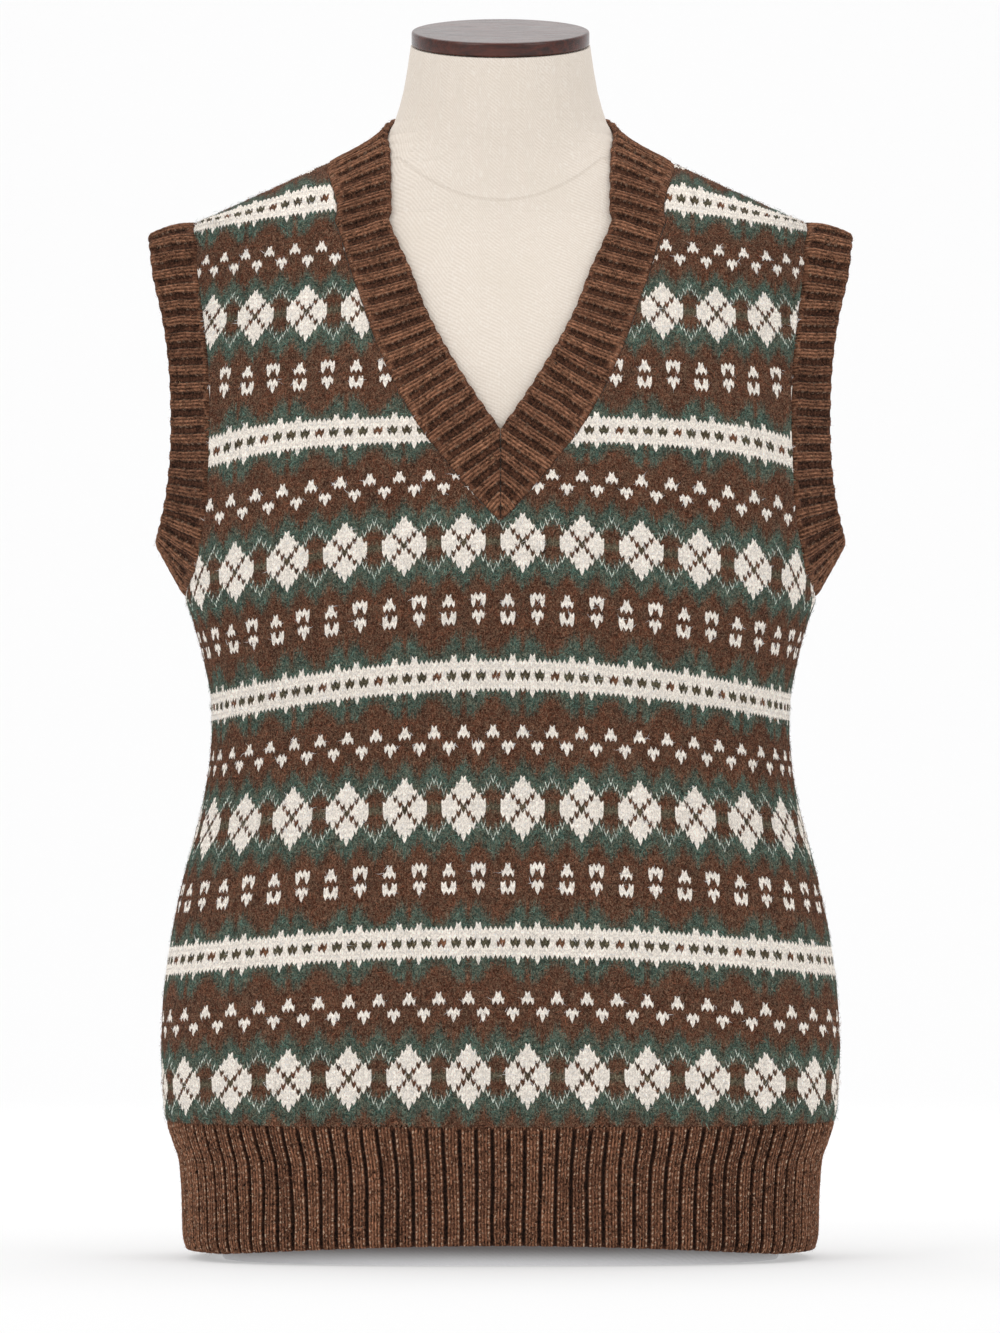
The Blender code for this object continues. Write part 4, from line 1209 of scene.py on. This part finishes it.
def ribbed_wall(name, place, ribs, profile, width, rows, inside, closed, droop=None,
                rounds=(1.4, 1.9), closing=(3.0, 3.0), sunk=0.0, tones_of=BAND_TONES,
                uneven=(0.75, 1.6), flat=0.0, tuck=0.0):
    """Ribbed wall. place(station, share, out) gives points; lengths are in millimetres.

    The furrows close over the lengths in closing at the sewn and the free edge, where their
    strands turn back in loops. At the sewn edge the wall starts lower by sunk and reaches under the
    panel by tuck, and at the free edge the ribs lose the share flat of their height.
    """
    stations, (high, light, kind) = rib_stations(ribs, profile, closed)
    number = np.arange(len(stations))
    rib = number // len(profile) % ribs
    steps = edge_steps(width, rows, *rounds)[:, None]
    beat = steps / width * rows
    from_free = width - steps
    wave = np.cos(2 * math.pi * (beat + (number // 4 % 2) * 0.5))
    dash = np.cos(2 * math.pi * (beat * 0.55 + (number * 0.37 % 1)))
    own = dice.normal(0, 1, ribs)[rib]
    each = dice.uniform(*uneven, (2, ribs))[0, rib]
    shut = 1 - ease(steps / closing[0] / each) * ease(from_free / closing[1])
    deep = kind == 0
    out = np.where(deep, high + (np.median(high) - 0.3 - high) * shut, high)
    out = out + np.where(kind == 2, 0.12 * wave, 0) + np.where(kind == 3, 0.15 * dash, 0)
    out -= flat * np.clip(high - 0.2, 0, None) * (1 - ease(from_free / 3.2))
    from_turn = np.minimum(steps - rounds[0] * 0.9, from_free - rounds[1] * 0.9)
    turning = np.exp(-(from_turn / 0.7) ** 2)
    # Painted shade and highlight: dark in deep furrows and dips, lighter on ridges and closed furrows
    tone = np.where(deep, light + (0.42 - light) * shut + 0.45 * turning * shut, light)
    tone = tone + np.where(kind == 2, 0.12 * wave, 0)
    tone = tone + np.where(kind == 3, 0.3 * np.clip(dash, 0, 1), 0)
    tone = tone * (1 + 0.1 * own)
    out = out + dice.normal(0, 0.05, tone.shape)
    full = np.sqrt(1 - (1 - np.clip(steps / rounds[0], 0, 1)) ** 2)
    full = full * np.sqrt(1 - (1 - np.clip(from_free / rounds[1], 0, 1)) ** 2)
    out = inside + (out - sunk * (1 - ease(steps / 4)) - inside) * full
    longer = 0.5 * (high - high.min()) / np.ptp(high) * np.clip(1 - from_free / 6, 0, 1)
    share = (steps - tuck * (1 - ease(steps / 1.5)) + longer) / width
    wander = smooth_noise(tone.shape, (4, ribs // 2), 0.035)
    spots = stations + wander * ease(np.minimum(stations, ribs - stations))
    outer = place(spots, share, out * MM)
    if droop is not None:
        outer = place(spots, share, (out + droop(outer)) * MM)
    inner_share = np.linspace(1, 0, INNER_ROWS + 2)[1:-1, None].repeat(len(stations), axis=1)
    inner = place(np.broadcast_to(stations, inner_share.shape), inner_share,
                  np.full(inner_share.shape, inside * MM))
    tones = np.concatenate((tone, np.full(inner_share.shape, 0.4)))
    piece = piece_from(name, np.concatenate((outer, inner)),
                       wall_faces(np.arange(tones.size).reshape(tones.shape), closed))
    dark, middle, pale_tone = tones_of
    level = np.clip(tones * dice.normal(1, 0.1, tones.shape), 0, 1.2)[..., None]
    colour = np.where(level < 0.5, dark + (middle - dark) * level * 2,
                      middle + (pale_tone - middle) * (level * 2 - 1))
    # The ribs' yarn colour carries this painted shade and highlight
    paint(piece, "yarn", colour.reshape(-1, 3))
    beats = np.concatenate((np.broadcast_to(beat, tone.shape), inner_share * rows))
    places = np.stack((np.broadcast_to(stations, tones.shape), beats), axis=-1).reshape(-1, 2)
    corner_points = np.zeros(len(piece.data.loops), int)
    piece.data.loops.foreach_get("vertex_index", corner_points)
    unwrap(piece, places[corner_points])
    return piece


print("ribs of the hem, armbands and half the neckband:", HEM_RIBS, ARM_RIBS, NECK_RIBS)

# %% Hem ribbing
HEM_WIDTH = (HEM_TOP - HEM_BOTTOM) / MM
HEM_MIDDLE = 42
BELLY = 165 * MM


def hem_place(first_share, rise):
    """Function from stations and shares of the width to points of one half of the hem.

    The lower edge rises towards the middle by up to rise, where the belly lifts it.
    """
    gap = SEAM_GAP / 2 / QUARTERS[HEM_MIDDLE, 0]

    def place(station, share, out):
        turned = first_share - 1 + gap + (2 - 2 * gap) * station / HEM_RIBS
        height = HEM_TOP - (HEM_TOP - HEM_BOTTOM) * share
        across = skin(turned, height, out)[..., 0] / BELLY
        return skin(turned, height + rise * np.clip(1 - across ** 2, 0, 1) * share ** 2, out)

    return place


hems = []
for name, first_share, rise in (("hem_front", 0.0, 7.5 * MM), ("hem_back", 2.0, 3.0 * MM)):
    hem = ribbed_wall(name, hem_place(first_share, rise), HEM_RIBS, HEM_PROFILE, HEM_WIDTH,
                      rows=21, inside=-3.2, closed=False, rounds=(0.8, 1.9), closing=(3.2, 2.6),
                      sunk=0.55, tones_of=HEM_TONES, uneven=(0.35, 2.4))
    close_up(hem)
    hems.append(hem)

# %% Armbands
armbands = []
for name, way in (("armband_wool_left", 1), ("armband_wool_right", -1)):
    band = ribbed_wall(name, lambda *spot: armband_point(*spot) * (way, 1, 1), ARM_RIBS,
                       BAND_PROFILE, 24.0, rows=7, inside=-2.3, closed=True, closing=(3.2, 3.2),
                       flat=0.6, tuck=0.8)
    close_up(band)
    armbands.append(band)


# %% Neckband
def dip_at_mitre(points):
    """How far the neckband curls in, in mm, beside the mitre at the point of the V."""
    near = np.clip(1 - (points[..., 0] / MM - 0.2) / 1.8, 0, 1) * (points[..., 1] < 0)
    return -1.5 * near ** 2


neckband = ribbed_wall("neckband_wool", neckband_point, NECK_RIBS, BAND_PROFILE, 29.0, rows=9,
                       inside=-2.4, closed=False, droop=dip_at_mitre, closing=(3.6, 3.6), flat=0.6,
                       tuck=0.8)
mitre = SEAM_GAP / 2
shape = bmesh.new()
shape.from_mesh(neckband.data)
bmesh.ops.recalc_face_normals(shape, faces=shape.faces[:])
ends = [face for face in shape.faces if len(face.verts) > 4]
bmesh.ops.delete(shape, geom=ends, context="FACES_ONLY")
for vert in shape.verts:
    if vert.co.y > 0 and abs(vert.co.x) < 0.05 * MM:
        vert.co.x = 0.0
bmesh.ops.bisect_plane(shape, geom=shape.verts[:] + shape.edges[:] + shape.faces[:],
                       dist=0.001 * MM, plane_co=(mitre, 0, 0), plane_no=(1, 0, 0))
gone = [vert for vert in shape.verts if vert.co.x < mitre - 0.001 * MM and vert.co.y < 0]
bmesh.ops.delete(shape, geom=gone, context="VERTS")
rim = [edge for edge in shape.edges if edge.is_boundary and edge.verts[0].co.y < 0]
bmesh.ops.edgeloop_fill(shape, edges=rim)
shape.to_mesh(neckband.data)
shape.free()
add_other_half(neckband)
close_up(neckband)

# %% [markdown]
# ## The halo
#
# Brushed wool has a halo: fine fibres that stand off the yarn, soften every edge of the pattern and
# blur the outline. They could be particle hair, but a mesh keeps them in every export. Each fibre
# is a narrow bent ribbon of two faces, rooted in a stitch and coloured like it.


# %% Fibres
def halo(name, roots, count, long=(2.2, 5.0), wide=0.24, lift=(0.15, 1.2)):
    """Piece of many short curved ribbons, rooted at random on a piece's points."""
    pick = dice.integers(0, len(roots["point"]), count)
    root = roots["point"][pick] + dice.normal(0, 0.4 * MM, (count, 3))
    way = roots["way"][pick]
    light = 2.0 * roots["colour"][pick] * dice.normal(1, 0.45, (count, 1)).clip(0.3, 2.4)
    side = dice.normal(0, 1, (count, 3))
    side -= way * (side * way).sum(axis=1, keepdims=True)
    side /= np.linalg.norm(side, axis=1, keepdims=True)
    bend = np.cross(way, side)
    length = dice.uniform(*long, (count, 1)) * MM
    rise = (dice.uniform(0, 1, (count, 1)) ** 2 * (lift[1] - lift[0]) + lift[0]) * MM
    curl = dice.normal(0, 0.35, (count, 1)) * length
    middle = []
    for t in (0.0, 0.5, 1.0):
        arch = rise * math.sin(math.pi * 0.62 * t) + 0.12 * MM
        middle.append(root + side * length * (t - 0.2) + bend * curl * t * t + way * arch)
    middle = np.stack(middle, axis=1)
    flat = np.cross(side, way + 0.6 * bend * dice.normal(0, 1, (count, 1)))
    flat /= np.linalg.norm(flat, axis=1, keepdims=True)
    thin = np.array((1.0, 0.8))[None, :, None] * wide / 2 * MM * flat[:, None]
    points = np.concatenate((middle[:, :2] - thin, middle[:, :2] + thin, middle[:, 2:]), axis=1)
    number = np.arange(count * 5).reshape(count, 5)
    faces = number[:, (0, 1, 3, 2)].tolist() + number[:, (1, 4, 3)].tolist()
    piece = piece_from(name, points, faces)
    paint(piece, "yarn", np.clip(light + 0.01, 0, 0.8).repeat(5, axis=0))
    piece.data.shade_smooth()
    print(name, "has", count, "fibres and", triangles(piece), "triangles")
    return piece


def roots_of(piece):
    """Points, outward ways and colours of the lighter half of a ribbed piece's points."""
    mesh = piece.data
    point, way = np.zeros((2, len(mesh.vertices) * 3))
    colour = np.zeros(len(mesh.vertices) * 4, np.float32)
    mesh.vertices.foreach_get("co", point)
    mesh.vertices.foreach_get("normal", way)
    mesh.color_attributes["yarn"].data.foreach_get("color", colour)
    colour = colour.reshape(-1, 4)[:, :3]
    shown = colour[:, 0] > np.median(colour[:, 0])
    return {"point": point.reshape(-1, 3)[shown], "way": way.reshape(-1, 3)[shown],
            "colour": colour[shown]}


halos = [halo("front_halo", front_roots, 30000), halo("back_halo", back_roots, 30000)]
rib_halos = [
    halo(f"{piece.name}_halo", roots_of(piece), count, long=(1.2, 3.4), wide=0.1, lift=(0.1, 0.8))
    for piece, count in zip(hems + armbands + [neckband], (3000, 3000, 1500, 1500, 3000))
]

# %% [markdown]
# ## Wool
#
# Wool scatters light in its fibres, so it is rough and has a soft sheen. The yarn's own colour
# comes from the stitch it is in. On top of it lie the heather of mixed fibres, the shade in the
# grooves, and fine curved hairs, and the relief gives the plies of the yarn and the dip between one
# stitch and the next.


# %% Wool of the panels
class Wool(Finish):
    """Rough wool, with the noises that its yarn is shaded by."""

    def __init__(self, name, patches):
        super().__init__(name, roughness=0.95, Specular_IOR_Level=0.08, Sheen_Weight=0.02,
                         Sheen_Roughness=0.6)
        self.where = self.place()
        self.stitches = self.node("ShaderNodeUVMap", {"uv_map": "stitches"})
        self.fine = self.spread(self.noise(self.where, 950.0, 2.0, 0.7), 0.36, 0.66)
        self.felt = self.spread(self.noise(self.where, 470.0, 3.0, 0.7, 0.8), 0.35, 0.67)
        self.cloud = self.spread(self.noise(self.where, patches, 3.0, 0.6), 0.3, 0.7)
        # Curved thin lines, where a twisted noise crosses its middle
        curl = self.noise(self.where, 320.0, 1.0, 0.5, 2.2) - 0.5
        self.hairs = 1 - self.spread(curl.math("ABSOLUTE"), 0.0, 0.085)


def from_middle(value, times=1.0):
    """Distance from the middle of each whole step of a value: 0 there, 1 at the steps' ends."""
    return ((value * times).math("FRACT") - 0.5).math("ABSOLUTE") * 2


def knit_finish(name):
    """Wool of the panels: each stitch in its colour, feathered into its neighbours."""
    wool = Wool(name, 120.0)
    felt, fine, hairs = wool.felt, wool.fine, wool.hairs
    strand, soft, white = wool.parts(wool.painted("kind"))
    u, v, _ = wool.parts(wool.stitches)
    in_leg, in_stitch, in_row = from_middle(u, 2), from_middle(u), from_middle(v)
    feather = wool.noise(wool.stretched(wool.where, (1100.0, 1100.0, 420.0)), 1.0, 2.0, 0.7, 0.4)
    white = wool.spread(white + (feather * 0.14 - 0.07), 0.48, 0.55)
    feather = feather + in_row.math("MAXIMUM", in_stitch) * 0.25 + soft * 0.15 - 0.2
    blend = wool.spread(feather, 0.49, 0.6) * soft
    tone = wool.mix(blend, wool.painted("yarn"), wool.painted("across"))
    tone = wool.mix(wool.cloud * 0.38 * soft, tone, linear(58, 50, 43))
    tone = wool.mix(white, tone, WHITE)
    rise = v.math("FRACT") - in_stitch * 0.5 - 0.25
    thin = (1 - wool.spread(rise.math("ABSOLUTE"), 0.12, 0.3)) * strand
    tone = wool.mix(thin * 0.85, tone, linear(206, 214, 204))
    groove = wool.spread(in_leg, 0.55, 1.0) * 0.6
    groove = groove.math("MAXIMUM", wool.spread(in_row, 0.74, 1.0)) * (felt * 0.7 + 0.45)
    tone = wool.mix(groove * (0.62 - white * 0.34), tone, linear(46, 28, 19))
    chevron = (v * 2 - in_stitch * 0.9) * (2 * math.pi) + felt * 2.5
    chevron = chevron.math("SINE") * 0.5 + 0.5
    shade = felt * 0.95 + fine * 0.7 + chevron * 0.45 + 0.03
    tone = wool.shaded(tone, shade * (1 - white * 0.57) + white * 0.58)
    light = wool.mix(0.45, wool.shaded(tone, 2.4), linear(168, 146, 120))
    wool.colour(wool.mix(hairs * (fine * 0.5 + 0.5) * (0.8 - white * 0.7), tone, light))
    wool.relief(felt * 0.9 + chevron * 0.3 + hairs * 0.2 - groove * 0.9, 0.00025)
    return wool.material


knit_wool = knit_finish("patterned knit wool")
print("nodes of the panels' wool:", len(knit_wool.node_tree.nodes))


# %% Wool of the ribbing and the fibres
RUNGS_PER_ROW = 1.7


def rib_finish(name, rungs, flecks, depth, bright=0.3):
    """Wool of the ribbing, with rungs across its furrows and light flecks on its strands."""
    wool = Wool(name, 150.0)
    felt, fine, cloud = wool.felt, wool.fine, wool.cloud
    u, v, _ = wool.parts(wool.stitches)
    aside = from_middle(u)
    furrow = wool.spread(aside, 0.6, 0.76)
    streak = wool.noise(wool.stretched(wool.stitches, (11.0, 1.8, 1.0)), 1.0, 2.0, 0.6)
    streak = wool.spread(streak, 0.36, 0.66)
    rung = (v * (2 * math.pi * RUNGS_PER_ROW) + felt * 2.0).math("SINE")
    rung = wool.spread(rung, 0.2, 0.95) * furrow
    bead = (v * (2 * math.pi) + felt * 3.0 + u * 2.0).math("SINE")
    bead = wool.spread(bead, 0.55, 0.9) * wool.spread(cloud + fine * 0.4, 0.4, 0.8)
    bead = bead * (1 - wool.spread((aside - 0.58).math("ABSOLUTE"), 0.05, 0.16))
    spots = wool.noise(wool.stretched(wool.stitches, (9.0, 1.6, 1.0)), 1.0, 1.0, 0.5)
    spots = wool.spread(spots, 0.64, 0.72)
    fleck = bead.math("MAXIMUM", spots * (1 - furrow) * 0.6)
    tone = wool.mix(rung * (fine * 0.6 + 0.4) * rungs, wool.painted("yarn"), linear(106, 70, 50))
    shade = streak * depth + felt * 0.5 + fine * 0.5 + cloud * 0.55 + bright - depth * 0.5
    tone = wool.mix(fleck * flecks, wool.shaded(tone, shade), linear(206, 176, 150))
    wool.colour(wool.mix(wool.hairs * fine * 0.35 * (1 - furrow), tone, linear(150, 112, 86)))
    wool.relief(felt * 0.8 + streak * 0.6 + rung * 0.8 + fleck * 0.3, 0.0003)
    return wool.material


hem_wool = rib_finish("brown hem wool", 0.0, 0.9, 1.15)
band_wool = rib_finish("brown neckband wool", 0.6, 0.25, 0.75)
# The armbands are the neckband's wool, painted darker as painted shade in the armholes
armband_wool = rib_finish("brown armband wool in painted shade", 0.6, 0.25, 0.75, 0.18)
hair_wool = Finish("wool halo", roughness=1.0, Specular_IOR_Level=0.0)
hair_wool.colour(hair_wool.painted("yarn"))
inside_wool = Finish("inside of the knit", roughness=0.95, Sheen_Weight=0.3)
place = inside_wool.place()
floats = inside_wool.noise(inside_wool.stretched(place, (160.0, 160.0, 900.0)), 1.0, 3.0, 0.6)
specks = inside_wool.noise(place, 300.0, 2.0, 0.6)
tone = inside_wool.mix(inside_wool.spread(floats, 0.35, 0.65), linear(62, 39, 28),
                       linear(62, 68, 61))
inside_wool.colour(inside_wool.mix(inside_wool.spread(specks, 0.45, 0.6) * 0.6, tone,
                                   linear(104, 94, 82)))
inside_wool.relief(floats + specks * 0.4, 0.0005)
print("ribbing and fibres:", hem_wool.name, band_wool.name, armband_wool.name, hair_wool.material.name)

# %% Finishes on the pieces
for piece in (front_knit, back_knit):
    piece.data.materials.append(knit_wool)
for piece in (front_wall, back_wall):
    piece.data.materials.append(inside_wool.material)
for piece in hems:
    piece.data.materials.append(hem_wool)
for piece in armbands:
    piece.data.materials.append(armband_wool)
neckband.data.materials.append(band_wool)
for piece in halos + rib_halos:
    piece.data.materials.append(hair_wool.material)
print("finishes:", [item.name for item in bpy.data.materials if item.users])

# %% [markdown]
# ## Pieces and bodies
#
# Every piece of cloth is listed with the size that it is cut to, flat, its slot and how it is held,
# though nothing here reads these. The panels hang from the shoulders; the bands are knitted
# narrower and stretched on. Each piece rides on the one body and stands for its solid, now hidden.

everything = [
    (front_wall, "front_panel", "patterned_knit", (0.535, 0.575), 0.212, "hung", [front_knit, halos[0]]),
    (back_wall, "back_panel", "patterned_knit", (0.535, 0.58), 0.245, "hung", [back_knit, halos[1]]),
    (hems[0], "hem_rib_front", "brown_ribbing", (0.511, 0.0784), None, "stretched", [rib_halos[0]]),
    (hems[1], "hem_rib_back", "brown_ribbing", (0.511, 0.0784), None, "stretched", [rib_halos[1]]),
    (armbands[0], "armband_left", "brown_ribbing", (0.52, 0.026), None, "stretched", [rib_halos[2]]),
    (armbands[1], "armband_right", "brown_ribbing", (0.52, 0.026), None, "stretched", [rib_halos[3]]),
    (neckband, "neckband", "brown_ribbing", (0.8, 0.03), None, "stretched", [rib_halos[4]]),
]
for piece, node, slot, flat, area, held, extras in everything:
    for item in (piece, *extras):
        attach(item, "root")
    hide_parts(node)
print("pieces:", len(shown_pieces()), " triangles:", sum(triangles(item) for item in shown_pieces()))
